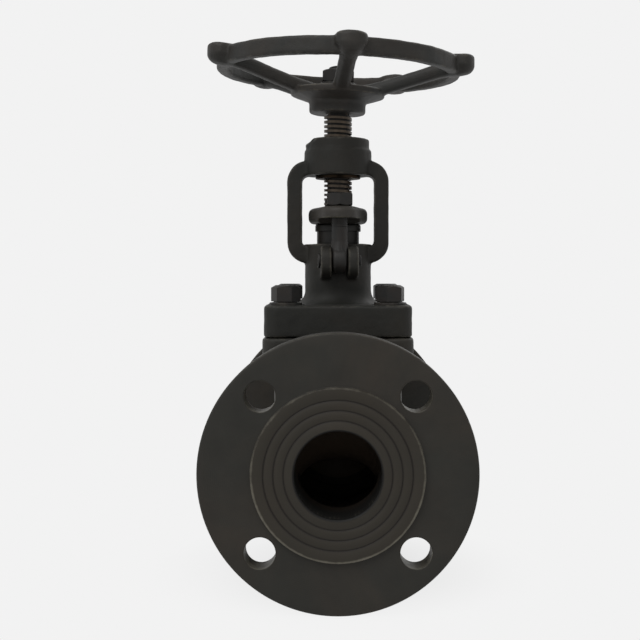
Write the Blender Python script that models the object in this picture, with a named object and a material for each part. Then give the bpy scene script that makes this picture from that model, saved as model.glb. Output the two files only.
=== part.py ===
"""Flanged globe valve, DN 50, outside screw and yoke, shown 14 mm open.

Metres, +Z up along the stem, +Y along the flow. The origin is where the flow line meets the
stem axis. Run with: blender --background --python part.py
"""
import math

import bmesh
import bpy
from mathutils import Matrix, Vector

# Pipe flanges and port
FACE_TO_FACE = 0.230
PORT_BORE = 0.050
FLANGE_DIAMETER = 0.160
FLANGE_THICKNESS = 0.017
RAISED_FACE_DIAMETER = 0.099
RAISED_FACE_HEIGHT = 0.003
FLANGE_EDGE = 0.0015
FLANGE_BOLT_CIRCLE = 0.125
FLANGE_HOLE_DIAMETER = 0.018
FLANGE_HOLE_COUNT = 4

# Body casting outside
NECK_DIAMETER = 0.066
NECK_SWELL = 0.008
NECK_FILLET = 0.008
BELLY_DIAMETER = 0.084
BELLY_DEPTH = 0.046
BODY_TOP = 0.073
BODY_FLANGE_WIDTH = 0.0945
BODY_FLANGE_CORNER = 0.010
BODY_FLANGE_THICKNESS = 0.019
CAST_EDGE = 0.002

# Body casting inside
CHAMBER_DIAMETER = 0.066
CHAMBER_FLOOR = 0.008
BONNET_BORE = 0.062
BONNET_BORE_DEPTH = 0.016
PASSAGE_HALF_WIDTH = 0.024
PASSAGE_HALF_HEIGHT = 0.015
PASSAGE_DROP = 0.018
PASSAGE_RISE = 0.024
PORT_STRAIGHT = 0.030
BOWL_DIAMETER = 0.054
BOWL_WALL = 0.008
BOWL_FILLET = 0.0216

# Seat, disc and lift
SEAT_BORE = 0.038
SEAT_OUTER = 0.050
SEAT_THICKNESS = 0.008
SEAT_PROUD = 0.002
OPEN_LIFT = 0.014
BACK_SEAT_TRAVEL = 0.002
DISC_DIAMETER = 0.044
DISC_HEIGHT = 0.018
DISC_FLOOR = 0.005
DISC_WALL = 0.008
DISC_NUT_FLATS = 0.026
DISC_NUT_HEAD = 0.006

# Stem
STEM_DIAMETER = 0.018
STEM_NECK_DIAMETER = 0.014
STEM_HEAD_DIAMETER = 0.023
STEM_HEAD_THICKNESS = 0.005
BACK_SEAT_DIAMETER = 0.024
BACK_SEAT_COLLAR = 0.007
STEM_SQUARE = 0.0124
STEM_END_DIAMETER = 0.012

# Bonnet casting
JOINT_GAP = 0.0005
BONNET_WIDTH = 0.092
BONNET_CORNER = 0.009
BONNET_THICKNESS = 0.020
SPIGOT_DEPTH = 0.0095
NECK_TUBE_DIAMETER = 0.0426
NECK_TUBE_FILLET = 0.008
NECK_TUBE_HEIGHT = 0.0369
STUFFING_BOX_BORE = 0.0284
PACKING_RING_HEIGHT = 0.006
PACKING_RING_COUNT = 5

# Gasket and back seat bushing
GASKET_THICKNESS = 0.0015
GASKET_WIDTH = 0.007
BUSHING_DIAMETER = 0.0274
BUSHING_LENGTH = 0.016
BUSHING_FLANGE = 0.0022

# Yoke
YOKE_WIDTH = 0.0654
YOKE_DEPTH = 0.018
YOKE_LEG = 0.0092
YOKE_FOOT = 0.0106
YOKE_SHOULDER = 0.0096
YOKE_CORNER = 0.0125
WINDOW_HEIGHT = 0.047
WINDOW_CORNER = 0.0036
HUB_DIAMETER = 0.0436
HUB_HEIGHT = 0.0241
HUB_RIM_DIAMETER = 0.041
HUB_RIM_HEIGHT = 0.0064
HUB_CHAMFER = 0.0012

# Yoke nut
YOKE_NUT_DIAMETER = 0.026
YOKE_NUT_COLLAR = 0.0296
YOKE_NUT_COLLAR_HEIGHT = 0.0017
SET_SCREW_DIAMETER = 0.006

# Bonnet bolts
BOLT_SPACING = 0.066
BOLT_DIAMETER = 0.010
BOLT_FLATS = 0.016
BOLT_HEAD = 0.010
BOLT_GRIP_IN_BODY = 0.015
BOLT_HEAD_TURNS = (-4.0, 16.0, 37.0, -22.0)
WASHER_DIAMETER = 0.0206
WASHER_THICKNESS = 0.002
SPOT_FACE_DIAMETER = 0.024
SPOT_FACE_DEPTH = 0.0008

# Gland and its eyebolts; the whole clamp sits turned a little about the stem, as cast
GLAND_TURN = math.radians(1.9)
FOLLOWER_DIAMETER = 0.0277
FOLLOWER_COLLAR = 0.030
FOLLOWER_STAND = 0.0102
FOLLOWER_ENTRY = 0.0095
FOLLOWER_COLLAR_HEIGHT = 0.0046
GLAND_BORE = 0.0188
GLAND_WIDTH = 0.0376
GLAND_END_RADIUS = 0.0115
GLAND_THICKNESS = 0.0104
GLAND_ROUND = 0.0035
GLAND_END_RISE = 0.0028
GLAND_END_SLOPE = 0.006
EYE_TO_NECK = 0.0005
EYEBOLT_DIAMETER = 0.010
EYE_DIAMETER = 0.0172
EYE_WIDTH = 0.0094
PIN_DEPTH = 0.0089
PIN_DIAMETER = 0.007
PIN_HEAD_DIAMETER = 0.0096
PIN_HEAD_THICKNESS = 0.0014
EAR_GAP = 0.0104
EAR_THICKNESS = 0.0068
EAR_RADIUS = 0.009
GLAND_NUT_HEIGHT = 0.008

# Handwheel, cast in one piece; it sits a little out of square on the stem
WHEEL_TILT = math.radians(1.7)
WHEEL_TURN = math.radians(5.3)
WHEEL_SPOKES = 5
WHEEL_CLEARANCE = 0.0027
WHEEL_HUB_DIAMETER = 0.0365
WHEEL_HUB_HEIGHT = 0.0182
RIM_RADIUS = 0.080
RIM_HEIGHT = 0.011
RIM_WIDTH = 0.0075
RIM_RISE = 0.031
LOBE_REACH = 0.010
LOBE_HEIGHT = 0.0154
LOBE_WIDTH = 0.0202
SPOKE_WIDTH = 0.0102
SPOKE_ROOT_WIDTH = 0.013
SPOKE_THICKNESS = 0.0085
SPOKE_ROOT_HEIGHT = 0.0124
SPOKE_BITE = 0.0036
SPOKE_STRAIGHTNESS = 0.6
DISH_RADIUS = 0.031
DISH_EDGE = 0.0043
DISH_DROP = 0.004
DISH_DEPTH = 0.0024
WHEEL_WASHER_DIAMETER = 0.024
WHEEL_WASHER_THICKNESS = 0.0016
WHEEL_NUT_FLATS = 0.0205
WHEEL_NUT_HEIGHT = 0.0082

# Clearances
SEAT_GAP = 0.0003
SLIDE_GAP = 0.0003
BOLT_GAP = 0.0005

# Facets round a full turn
FINE = 36
BROAD = 28
MEDIUM = 24
COARSE = 16
SMALL = 12

# Steps along an arc or a blend
CURVE_STEPS = 6
PASSAGE_STEPS = 4
EAR_STEPS = 5
LOBE_STEPS = 4


def start_empty():
    """Remove the objects that are in the file."""
    for thing in list(bpy.data.objects):
        bpy.data.objects.remove(thing, do_unlink=True)


def filleted(corners, steps=3):
    """Points of a closed outline whose (x, y, radius) corners are rounded by arcs."""
    points = []
    for i, (x, y, radius) in enumerate(corners):
        corner = Vector((x, y))
        if radius == 0:
            points.append(corner)
            continue
        before = (Vector(corners[i - 1][:2]) - corner).normalized()
        after = (Vector(corners[(i + 1) % len(corners)][:2]) - corner).normalized()
        half = before.angle(after) / 2
        centre = corner + (before + after).normalized() * radius / math.sin(half)
        start = corner + before * radius / math.tan(half) - centre
        end = corner + after * radius / math.tan(half) - centre
        first = math.atan2(start.y, start.x)
        sweep = (math.atan2(end.y, end.x) - first + math.pi) % (2 * math.pi) - math.pi
        for k in range(steps + 1):
            angle = first + sweep * k / steps
            points.append(centre + radius * Vector((math.cos(angle), math.sin(angle))))
    return points


def closed_mesh(bm):
    """Weld the seams of a shape and point its faces out."""
    bmesh.ops.remove_doubles(bm, verts=bm.verts, dist=1e-6)
    bmesh.ops.recalc_face_normals(bm, faces=bm.faces)
    return bm


def turned(outline, facets=MEDIUM):
    """Turn (radius, height) points about Z: a ring, or a solid when the ends lie on the axis."""
    bm = bmesh.new()
    verts = [bm.verts.new((radius, 0, height)) for radius, height in outline]
    ring = outline[0][0] > 0
    ends = verts[1:] + verts[:1] if ring else verts[1:]
    edges = [bm.edges.new(pair) for pair in zip(verts, ends)]
    bmesh.ops.spin(bm, geom=verts + edges, cent=(0, 0, 0), axis=(0, 0, 1),
                   angle=2 * math.pi, steps=facets, use_merge=True)
    return closed_mesh(bm)


def cylinder(radius, low, high, facets=MEDIUM):
    return turned([(0, low), (radius, low), (radius, high), (0, high)], facets)


def prism(outline, low, high, edge=0.0, steps=2):
    """Extrude an outline along Z, with its end edges rounded by the edge radius."""
    bm = bmesh.new()
    face = bm.faces.new([bm.verts.new((x, y, low)) for x, y in outline])
    bmesh.ops.remove_doubles(bm, verts=bm.verts, dist=1e-6)
    moved = bmesh.ops.extrude_face_region(bm, geom=list(bm.faces))["geom"]
    top = [item for item in moved if isinstance(item, bmesh.types.BMVert)]
    bmesh.ops.translate(bm, verts=top, vec=(0, 0, high - low))
    closed_mesh(bm)
    if edge:
        rims = [e for e in bm.edges if abs(e.verts[0].co.z - e.verts[1].co.z) < 1e-7]
        bmesh.ops.bevel(bm, geom=rims, offset=edge, segments=steps, profile=0.5,
                        affect="EDGES", clamp_overlap=True)
    return closed_mesh(bm)


def loft(loops, ring=False):
    """Join loops of equally many points into a solid, or into a ring through all of them."""
    bm = bmesh.new()
    rows = [[bm.verts.new(point) for point in loop] for loop in loops]
    pairs = list(zip(rows, rows[1:] + rows[:1])) if ring else list(zip(rows, rows[1:]))
    for lower, upper in pairs:
        for k in range(len(lower)):
            nxt = (k + 1) % len(lower)
            bm.faces.new((lower[k], lower[nxt], upper[nxt], upper[k]))
    if not ring:
        bm.faces.new(rows[0])
        bm.faces.new(rows[-1])
    return closed_mesh(bm)


def block_outline(width, depth, corner):
    """A rectangle about the origin with rounded corners."""
    x, y = width / 2, depth / 2
    return filleted([(-x, -y, corner), (x, -y, corner), (x, y, corner), (-x, y, corner)])


def finish(name, colour, roughness, metallic):
    """One Principled material."""
    material = bpy.data.materials.new(name)
    material.use_nodes = True
    shader = material.node_tree.nodes["Principled BSDF"]
    shader.inputs["Base Color"].default_value = (*colour, 1)
    shader.inputs["Roughness"].default_value = roughness
    shader.inputs["Metallic"].default_value = metallic
    material.diffuse_color = (*colour, 1)
    return material


def shape(name, bm, matrix=None):
    """An object from a bmesh, smooth but for its real edges, moved in its mesh by matrix."""
    mesh = bpy.data.meshes.new(name)
    if matrix is not None:
        bm.transform(matrix)
    bm.to_mesh(mesh)
    bm.free()
    mesh.shade_smooth()
    mesh.set_sharp_from_angle(angle=math.radians(35))
    made = bpy.data.objects.new(name, mesh)
    bpy.context.collection.objects.link(made)
    return made


def tool(name, bm, matrix=None):
    """A shape that only joins or cuts others."""
    made = shape(name, bm, matrix)
    made.hide_render = True
    made.display_type = "WIRE"
    return made


def boolean(target, operation, made):
    modifier = target.modifiers.new(made.name, "BOOLEAN")
    modifier.operation = operation
    modifier.solver = "EXACT"
    modifier.object = made


def join(target, name, bm, matrix=None):
    boolean(target, "UNION", tool(target.name + "_" + name, bm, matrix))


def cut(target, name, bm, matrix=None):
    boolean(target, "DIFFERENCE", tool(target.name + "_" + name, bm, matrix))


def piece(name, bm, material, location=(0, 0, 0), parent=None):
    """One part of the valve, with its origin at location in its parent's frame."""
    made = shape(name, bm)
    made.data.materials.append(finish(name, *material))
    made.location = location
    made.parent = parent
    return made


def axis_empty(name, location, turn=0.0, parent=None):
    """An empty that marks a joint's axis."""
    empty = bpy.data.objects.new(name, None)
    empty.empty_display_size = 0.02
    bpy.context.collection.objects.link(empty)
    empty.location = location
    empty.rotation_euler.z = turn
    empty.parent = parent
    return empty


def merged(shapes):
    """Several separate shapes in one bmesh, used as one cutter."""
    whole = bmesh.new()
    for bm in shapes:
        part = bpy.data.meshes.new("part")
        bm.to_mesh(part)
        bm.free()
        whole.from_mesh(part)
        bpy.data.meshes.remove(part)
    return whole


def moved(bm, matrix):
    bm.transform(matrix)
    return bm


def polar(radius, angle, height=0.0):
    return Vector((radius * math.cos(angle), radius * math.sin(angle), height))


def hexagon_reach(angle, flats):
    """Distance from a hexagon's centre to its side, with a flat's middle at angle 0."""
    return flats / 2 / math.cos((angle + math.pi / 6) % (math.pi / 3) - math.pi / 6)


HEX_FACETS = 12
HEX_CHAMFER = math.tan(math.radians(30))


def hexagon_loops(flats, low, high, chamfer_low=False, chamfer_high=True):
    """Loops from the lower to the upper face of a hexagon whose corners are turned off."""
    angles = [2 * math.pi * k / HEX_FACETS for k in range(HEX_FACETS)]
    inner = flats / 2 * 0.95
    reach = [hexagon_reach(a, flats) for a in angles]
    bottom = [low + HEX_CHAMFER * (r - inner) * chamfer_low for r in reach]
    top = [high - HEX_CHAMFER * (r - inner) * chamfer_high for r in reach]
    loops = [[polar(r, a, z) for r, a, z in zip(reach, angles, bottom)],
             [polar(r, a, z) for r, a, z in zip(reach, angles, top)]]
    if chamfer_low:
        loops.insert(0, [polar(inner, a, low) for a in angles])
    if chamfer_high:
        loops.append([polar(inner, a, high) for a in angles])
    return loops


def circle_loop(radius, height, facets=HEX_FACETS):
    return [polar(radius, 2 * math.pi * k / facets, height) for k in range(facets)]


def hex_nut(flats, height, bore):
    """A nut on its lower face, chamfered above and below."""
    loops = hexagon_loops(flats, 0, height, chamfer_low=True)
    return loft(loops + [circle_loop(bore / 2, height), circle_loop(bore / 2, 0)], ring=True)


def hex_bolt(flats, head, diameter, length):
    """A bolt with its head's bearing face at height 0 and its shank below."""
    end = 0.1 * diameter
    shank = [circle_loop(diameter / 2 - end, -length), circle_loop(diameter / 2, end - length),
             circle_loop(diameter / 2, 0)]
    return loft(shank + hexagon_loops(flats, 0, head))


def washer(outer, bore, thickness, facets=COARSE):
    return turned([(bore / 2, 0), (outer / 2, 0), (outer / 2, thickness), (bore / 2, thickness)],
                  facets)


ALONG_FLOW = Matrix.Rotation(-math.pi / 2, 4, "X")
HALF_TURN = Matrix.Rotation(math.pi, 4, "Z")
CAST_STEEL = ((0.030, 0.027, 0.022), 0.6, 0.35)
FORGED_STEEL = ((0.027, 0.025, 0.021), 0.55, 0.45)
CAST_IRON = ((0.028, 0.027, 0.024), 0.6, 0.3)
STAINLESS = ((0.42, 0.40, 0.37), 0.35, 1.0)
STEM_STEEL = ((0.11, 0.07, 0.045), 0.45, 0.8)
BRONZE = ((0.30, 0.18, 0.08), 0.4, 1.0)
GRAPHITE = ((0.025, 0.025, 0.027), 0.7, 0.2)
BLACK_BOLT = ((0.032, 0.030, 0.028), 0.45, 0.7)

FLANGE_FACE = FACE_TO_FACE / 2 - RAISED_FACE_HEIGHT
FLANGE_BACK = FLANGE_FACE - FLANGE_THICKNESS
BODY_FLANGE_BOTTOM = BODY_TOP - BODY_FLANGE_THICKNESS
SEAT_TOP = CHAMBER_FLOOR + SEAT_PROUD
SEAT_LEDGE = SEAT_TOP - SEAT_THICKNESS - SEAT_GAP
BONNET_BOTTOM = BODY_TOP + JOINT_GAP
BONNET_TOP = BONNET_BOTTOM + BONNET_THICKNESS
SPOT_FACE = BONNET_TOP - SPOT_FACE_DEPTH
SPIGOT_BOTTOM = BONNET_BOTTOM - SPIGOT_DEPTH
BOLT_SEAT = SPOT_FACE + SEAT_GAP + WASHER_THICKNESS + SEAT_GAP
BOLT_LENGTH = BOLT_SEAT - BODY_TOP + BOLT_GRIP_IN_BODY
STUFFING_BOX_TOP = BONNET_TOP + NECK_TUBE_HEIGHT
PIN_HEIGHT = STUFFING_BOX_TOP - PIN_DEPTH
EYEBOLT_REACH = (NECK_TUBE_DIAMETER + EYE_DIAMETER) / 2 + EYE_TO_NECK
YOKE_BOTTOM = STUFFING_BOX_TOP - YOKE_FOOT
WINDOW_TOP = STUFFING_BOX_TOP + WINDOW_HEIGHT
YOKE_TOP = WINDOW_TOP + YOKE_SHOULDER
HUB_TOP = WINDOW_TOP + HUB_HEIGHT
SET_SCREW_HEIGHT = WINDOW_TOP + HUB_HEIGHT / 2
WHEEL_SEAT = HUB_TOP + OPEN_LIFT + WHEEL_CLEARANCE
RIM_MIDDLE = WHEEL_SEAT + RIM_RISE


def bolt_places():
    """The four bonnet bolts: front left, front right, rear right, rear left."""
    half = BOLT_SPACING / 2
    return [(-half, -half), (half, -half), (half, half), (-half, half)]


def ellipse_loop(y, z, half_width, half_height, facets=MEDIUM):
    """One cross-section of a passage, square to the flow."""
    angles = [2 * math.pi * k / facets for k in range(facets)]
    return [(half_width * math.cos(a), y, z + half_height * math.sin(a)) for a in angles]


def passage(side, shift, stop):
    """A port bore that flattens and shifts up or down on its way in, as far as stop."""
    port = PORT_BORE / 2
    straight_end = FACE_TO_FACE / 2 - PORT_STRAIGHT
    throat = CHAMBER_DIAMETER / 2 + CAST_EDGE
    stations = [(FACE_TO_FACE / 2 + PORT_STRAIGHT / 2, 0.0)]
    for k in range(PASSAGE_STEPS + 1):
        share = k / PASSAGE_STEPS
        stations.append((straight_end + (throat - straight_end) * share, share))
    stations.append((stop, 1.0))
    loops = []
    for y, blend in stations:
        ease = blend * blend * (3 - 2 * blend)
        width = port + (PASSAGE_HALF_WIDTH - port) * ease
        height = port + (PASSAGE_HALF_HEIGHT - port) * ease
        loops.append(ellipse_loop(side * y, shift * ease, width, height))
    return loft(loops)


def body_shell():
    """Flanges and necks turned in one about the flow line."""
    flange = FLANGE_DIAMETER / 2
    neck = NECK_DIAMETER / 2
    raised = RAISED_FACE_DIAMETER / 2
    front = [(0, FACE_TO_FACE / 2, 0), (raised, FACE_TO_FACE / 2, 0), (raised, FLANGE_FACE, 0),
             (flange, FLANGE_FACE, FLANGE_EDGE), (flange, FLANGE_BACK, FLANGE_EDGE),
             (neck, FLANGE_BACK, NECK_FILLET), (neck + NECK_SWELL, BELLY_DIAMETER / 2, 0)]
    rear = [(radius, -y, fillet) for radius, y, fillet in reversed(front)]
    return turned([tuple(p) for p in filleted(front + rear, steps=2)], FINE)


def build_body():
    body = piece("body", moved(body_shell(), ALONG_FLOW), CAST_STEEL)
    belly = BELLY_DIAMETER / 2
    bottom = [(0.0, -BELLY_DEPTH)]
    for k in range(1, CURVE_STEPS + 1):
        angle = math.pi / 2 * k / CURVE_STEPS
        drop = BELLY_DEPTH - belly / 4
        bottom.append((belly * math.sin(angle), -belly / 4 - drop * math.cos(angle)))
    top = BODY_FLANGE_BOTTOM + BODY_FLANGE_THICKNESS / 2
    join(body, "belly", turned(bottom + [(belly, top), (0, top)], BROAD))
    square = block_outline(BODY_FLANGE_WIDTH, BODY_FLANGE_WIDTH, BODY_FLANGE_CORNER)
    join(body, "bonnet_flange", prism(square, BODY_FLANGE_BOTTOM, BODY_TOP, CAST_EDGE))

    chamber = CHAMBER_DIAMETER / 2
    bore = BONNET_BORE / 2
    neck_start = BODY_TOP - BONNET_BORE_DEPTH
    gasket = bore + GASKET_WIDTH + SLIDE_GAP
    recess = BODY_TOP - GASKET_THICKNESS + JOINT_GAP - 2 * SEAT_GAP
    over = BODY_TOP + BONNET_THICKNESS
    cut(body, "chamber", turned([(0, CHAMBER_FLOOR), (chamber, CHAMBER_FLOOR),
                                 (chamber, neck_start - CAST_EDGE), (bore, neck_start),
                                 (bore, recess), (gasket, recess), (gasket, over), (0, over)],
                                BROAD))
    seat = SEAT_OUTER / 2
    bowl = BOWL_DIAMETER / 2
    throat = seat - SEAT_THICKNESS / 2
    bowl_bottom = BOWL_WALL - BELLY_DEPTH
    lower = [(0, bowl_bottom, 0), (bowl, bowl_bottom, min(BOWL_FILLET, bowl)),
             (bowl, SEAT_LEDGE - SEAT_THICKNESS, 0), (throat, SEAT_LEDGE - SEAT_THICKNESS / 2, 0),
             (throat, SEAT_LEDGE, 0), (seat, SEAT_LEDGE, 0), (seat, CHAMBER_FLOOR + seat, 0),
             (0, CHAMBER_FLOOR + seat, 0)]
    cut(body, "bowl", turned([tuple(p) for p in filleted(lower)], BROAD))
    cut(body, "inlet", passage(-1, -PASSAGE_DROP, SEAT_OUTER / 5))
    cut(body, "outlet", passage(1, PASSAGE_RISE, SEAT_OUTER / 5))

    holes = []
    for side in (-1, 1):
        for k in range(FLANGE_HOLE_COUNT):
            angle = 2 * math.pi * (k + 0.5) / FLANGE_HOLE_COUNT
            place = polar(FLANGE_BOLT_CIRCLE / 2, angle)
            hole = cylinder(FLANGE_HOLE_DIAMETER / 2, FLANGE_BACK - FLANGE_THICKNESS / 2,
                            FACE_TO_FACE / 2 + FLANGE_THICKNESS, COARSE)
            turn = ALONG_FLOW if side > 0 else HALF_TURN @ ALONG_FLOW
            holes.append(moved(hole, turn @ Matrix.Translation(place)))
    cut(body, "flange_holes", merged(holes))

    depth = BODY_TOP - BOLT_GRIP_IN_BODY - BOLT_GAP * 2
    holes = [moved(cylinder(BOLT_DIAMETER / 2 + SLIDE_GAP, depth, over, SMALL),
                   Matrix.Translation((x, y, 0))) for x, y in bolt_places()]
    cut(body, "bolt_holes", merged(holes))


def build_seat_ring():
    outer, inner = SEAT_OUTER / 2 - SLIDE_GAP, SEAT_BORE / 2
    bevel = SEAT_PROUD / 2
    bottom = SEAT_LEDGE + SEAT_GAP
    outline = [(inner, bottom), (outer, bottom), (outer, SEAT_TOP - bevel),
               (outer - bevel, SEAT_TOP), (inner, SEAT_TOP)]
    piece("seat_ring", turned(outline, MEDIUM), STAINLESS)


def build_gasket():
    inner = BONNET_BORE / 2 + SLIDE_GAP
    bottom = BODY_TOP - GASKET_THICKNESS + JOINT_GAP - SEAT_GAP
    ring = washer(2 * inner + 2 * GASKET_WIDTH - 2 * SLIDE_GAP, 2 * inner, GASKET_THICKNESS, MEDIUM)
    piece("bonnet_gasket", ring, GRAPHITE, (0, 0, bottom))


def around_stem(turn):
    return Matrix.Rotation(turn, 4, "Z")


def ear_outline():
    """Side view of an ear: round about the pin and running back into the neck."""
    root = -(NECK_TUBE_DIAMETER + STUFFING_BOX_BORE) / 4
    low, high = PIN_HEIGHT - EAR_RADIUS, PIN_HEIGHT + EAR_RADIUS
    tip = -EYEBOLT_REACH - EAR_RADIUS
    return filleted([(root, low, 0), (tip, low, EAR_RADIUS), (tip, high, EAR_RADIUS),
                     (root, high, 0)], EAR_STEPS)


UPRIGHT = Matrix.Rotation(math.pi / 2, 4, "X")
SIDE_ON = Matrix(((0, 0, 1, 0), (1, 0, 0, 0), (0, 1, 0, 0), (0, 0, 0, 1)))


def build_bonnet():
    square = block_outline(BONNET_WIDTH, BONNET_WIDTH, BONNET_CORNER)
    bonnet = piece("bonnet", prism(square, BONNET_BOTTOM, BONNET_TOP, CAST_EDGE), CAST_STEEL)
    tube = NECK_TUBE_DIAMETER / 2
    spigot = BONNET_BORE / 2 - SLIDE_GAP * 2
    core = [(0, SPIGOT_BOTTOM, 0), (spigot, SPIGOT_BOTTOM, 0),
            (spigot, BONNET_TOP - CAST_EDGE, 0), (tube + NECK_TUBE_FILLET, BONNET_TOP, 0),
            (tube, BONNET_TOP, NECK_TUBE_FILLET), (tube, STUFFING_BOX_TOP + CAST_EDGE, 0),
            (0, STUFFING_BOX_TOP + CAST_EDGE, 0)]
    join(bonnet, "neck", turned([tuple(p) for p in filleted(core)], BROAD))
    yoke = [(x * YOKE_WIDTH / 2, z, YOKE_CORNER) for x, z in
            ((-1, YOKE_BOTTOM), (1, YOKE_BOTTOM), (1, YOKE_TOP), (-1, YOKE_TOP))]
    depth = YOKE_DEPTH / 2
    join(bonnet, "yoke", prism(filleted(yoke), -depth, depth, CAST_EDGE), UPRIGHT)
    hub, rim = HUB_DIAMETER / 2, HUB_RIM_DIAMETER / 2
    step = HUB_TOP - HUB_RIM_HEIGHT
    join(bonnet, "hub", turned([(0, WINDOW_TOP - YOKE_LEG), (hub, WINDOW_TOP - YOKE_LEG),
                                (hub, step), (rim, step + HUB_CHAMFER / 2),
                                (rim, HUB_TOP - HUB_CHAMFER), (rim - HUB_CHAMFER, HUB_TOP),
                                (0, HUB_TOP)], MEDIUM))
    for end, name in ((0, "front"), (math.pi, "rear")):
        for side in (-1, 1):
            inner, outer = sorted((side * EAR_GAP / 2, side * (EAR_GAP / 2 + EAR_THICKNESS)))
            join(bonnet, name + "_ear", prism(ear_outline(), inner, outer, CAST_EDGE / 2, 1),
                 around_stem(GLAND_TURN + end) @ SIDE_ON)
    gap = YOKE_WIDTH / 2 - YOKE_LEG
    window = [(-gap, STUFFING_BOX_TOP, WINDOW_CORNER), (gap, STUFFING_BOX_TOP, WINDOW_CORNER),
              (gap, WINDOW_TOP, WINDOW_CORNER), (-gap, WINDOW_TOP, WINDOW_CORNER)]
    cut(bonnet, "window", prism(filleted(window), -BONNET_WIDTH / 2, BONNET_WIDTH / 2), UPRIGHT)
    cut(bonnet, "bores", merged(bonnet_bores()))
    cut(bonnet, "holes", merged(bonnet_holes()))


def packing_floor():
    stack = PACKING_RING_COUNT * (PACKING_RING_HEIGHT + SEAT_GAP)
    return STUFFING_BOX_TOP - FOLLOWER_ENTRY - stack - SEAT_GAP


def bonnet_bores():
    """Bores on the stem axis: bushing seat and stem, stuffing box, yoke nut."""
    box, floor = STUFFING_BOX_BORE / 2, packing_floor()
    stem = STEM_DIAMETER / 2 + SLIDE_GAP * 2
    bushing = BUSHING_DIAMETER / 2 + SLIDE_GAP
    flange = bushing + BUSHING_FLANGE
    shoulder = SPIGOT_BOTTOM + BUSHING_FLANGE + SLIDE_GAP
    top = SPIGOT_BOTTOM + BUSHING_LENGTH + SEAT_GAP
    below = SPIGOT_BOTTOM - BUSHING_LENGTH
    over = STUFFING_BOX_TOP + BUSHING_LENGTH
    lower = turned([(0, below), (flange, below), (flange, shoulder), (bushing, shoulder),
                    (bushing, top), (stem, top), (stem, floor), (box, floor), (box, over),
                    (0, over)], MEDIUM)
    nut = YOKE_NUT_DIAMETER / 2 + SLIDE_GAP
    upper = cylinder(nut, WINDOW_TOP - YOKE_LEG, HUB_TOP + YOKE_LEG, MEDIUM)
    return [lower, upper]


def bonnet_holes():
    """Bolt holes with spot faces, pin holes through the ears, and the set screw's hole."""
    shapes = []
    for x, y in bolt_places():
        hole, spot = BOLT_DIAMETER / 2 + BOLT_GAP, SPOT_FACE_DIAMETER / 2
        low, high = BODY_TOP - BOLT_DIAMETER, BONNET_TOP + BOLT_DIAMETER
        stepped = turned([(0, low), (hole, low), (hole, SPOT_FACE), (spot, SPOT_FACE),
                          (spot, high), (0, high)], COARSE)
        shapes.append(moved(stepped, Matrix.Translation((x, y, 0))))
    reach = EAR_GAP / 2 + EAR_THICKNESS * 2
    for end in (0, math.pi):
        pin = cylinder(PIN_DIAMETER / 2 + SLIDE_GAP, -reach, reach, SMALL)
        place = Matrix.Translation((0, -EYEBOLT_REACH, PIN_HEIGHT)) \
            @ Matrix.Rotation(math.pi / 2, 4, "Y")
        shapes.append(moved(pin, around_stem(GLAND_TURN + end) @ place))
    screw = cylinder(SET_SCREW_DIAMETER / 2 + SLIDE_GAP, YOKE_NUT_DIAMETER / 4, HUB_DIAMETER, SMALL)
    shapes.append(moved(screw, Matrix.Translation((0, 0, SET_SCREW_HEIGHT)) @ ALONG_FLOW))
    return shapes


def build_bonnet_bolts():
    places = zip(bolt_places(), BOLT_HEAD_TURNS,
                 ("front_left", "front_right", "rear_right", "rear_left"))
    for (x, y), turn, name in places:
        bolt = hex_bolt(BOLT_FLATS, BOLT_HEAD, BOLT_DIAMETER, BOLT_LENGTH)
        made = piece("bonnet_bolt_" + name, bolt, BLACK_BOLT, (x, y, BOLT_SEAT))
        made.rotation_euler.z = math.radians(turn + 30)
        ring = washer(WASHER_DIAMETER, BOLT_DIAMETER + BOLT_GAP, WASHER_THICKNESS)
        piece("bonnet_washer_" + name, ring, BLACK_BOLT, (x, y, SPOT_FACE + SEAT_GAP))


def back_seat_cone():
    """Run of the 45 degree seat from the stem to the collar's full radius."""
    return (BACK_SEAT_DIAMETER - STEM_DIAMETER) / 2


def build_bushing():
    bore = STEM_DIAMETER / 2 + SLIDE_GAP
    outer = BUSHING_DIAMETER / 2
    flange = outer + BUSHING_FLANGE
    cone = back_seat_cone()
    outline = [(bore, SPIGOT_BOTTOM + cone), (bore + cone, SPIGOT_BOTTOM),
               (flange, SPIGOT_BOTTOM), (flange, SPIGOT_BOTTOM + BUSHING_FLANGE),
               (outer, SPIGOT_BOTTOM + BUSHING_FLANGE), (outer, SPIGOT_BOTTOM + BUSHING_LENGTH),
               (bore, SPIGOT_BOTTOM + BUSHING_LENGTH)]
    piece("backseat_bushing", turned(outline, COARSE), STAINLESS)


def build_packing():
    for k in range(PACKING_RING_COUNT):
        ring = washer(STUFFING_BOX_BORE - 2 * SLIDE_GAP, STEM_DIAMETER + 2 * SLIDE_GAP,
                      PACKING_RING_HEIGHT)
        height = packing_floor() + SEAT_GAP + k * (PACKING_RING_HEIGHT + SEAT_GAP)
        piece(f"packing_ring_{k + 1}", ring, GRAPHITE, (0, 0, height))


def follower_bottom():
    return packing_floor() + SEAT_GAP + PACKING_RING_COUNT * (PACKING_RING_HEIGHT + SEAT_GAP)


def gland_bottom():
    return STUFFING_BOX_TOP + FOLLOWER_STAND + FOLLOWER_COLLAR_HEIGHT + SEAT_GAP


def gland_nut_seat():
    return gland_bottom() + GLAND_THICKNESS + SEAT_GAP


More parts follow.
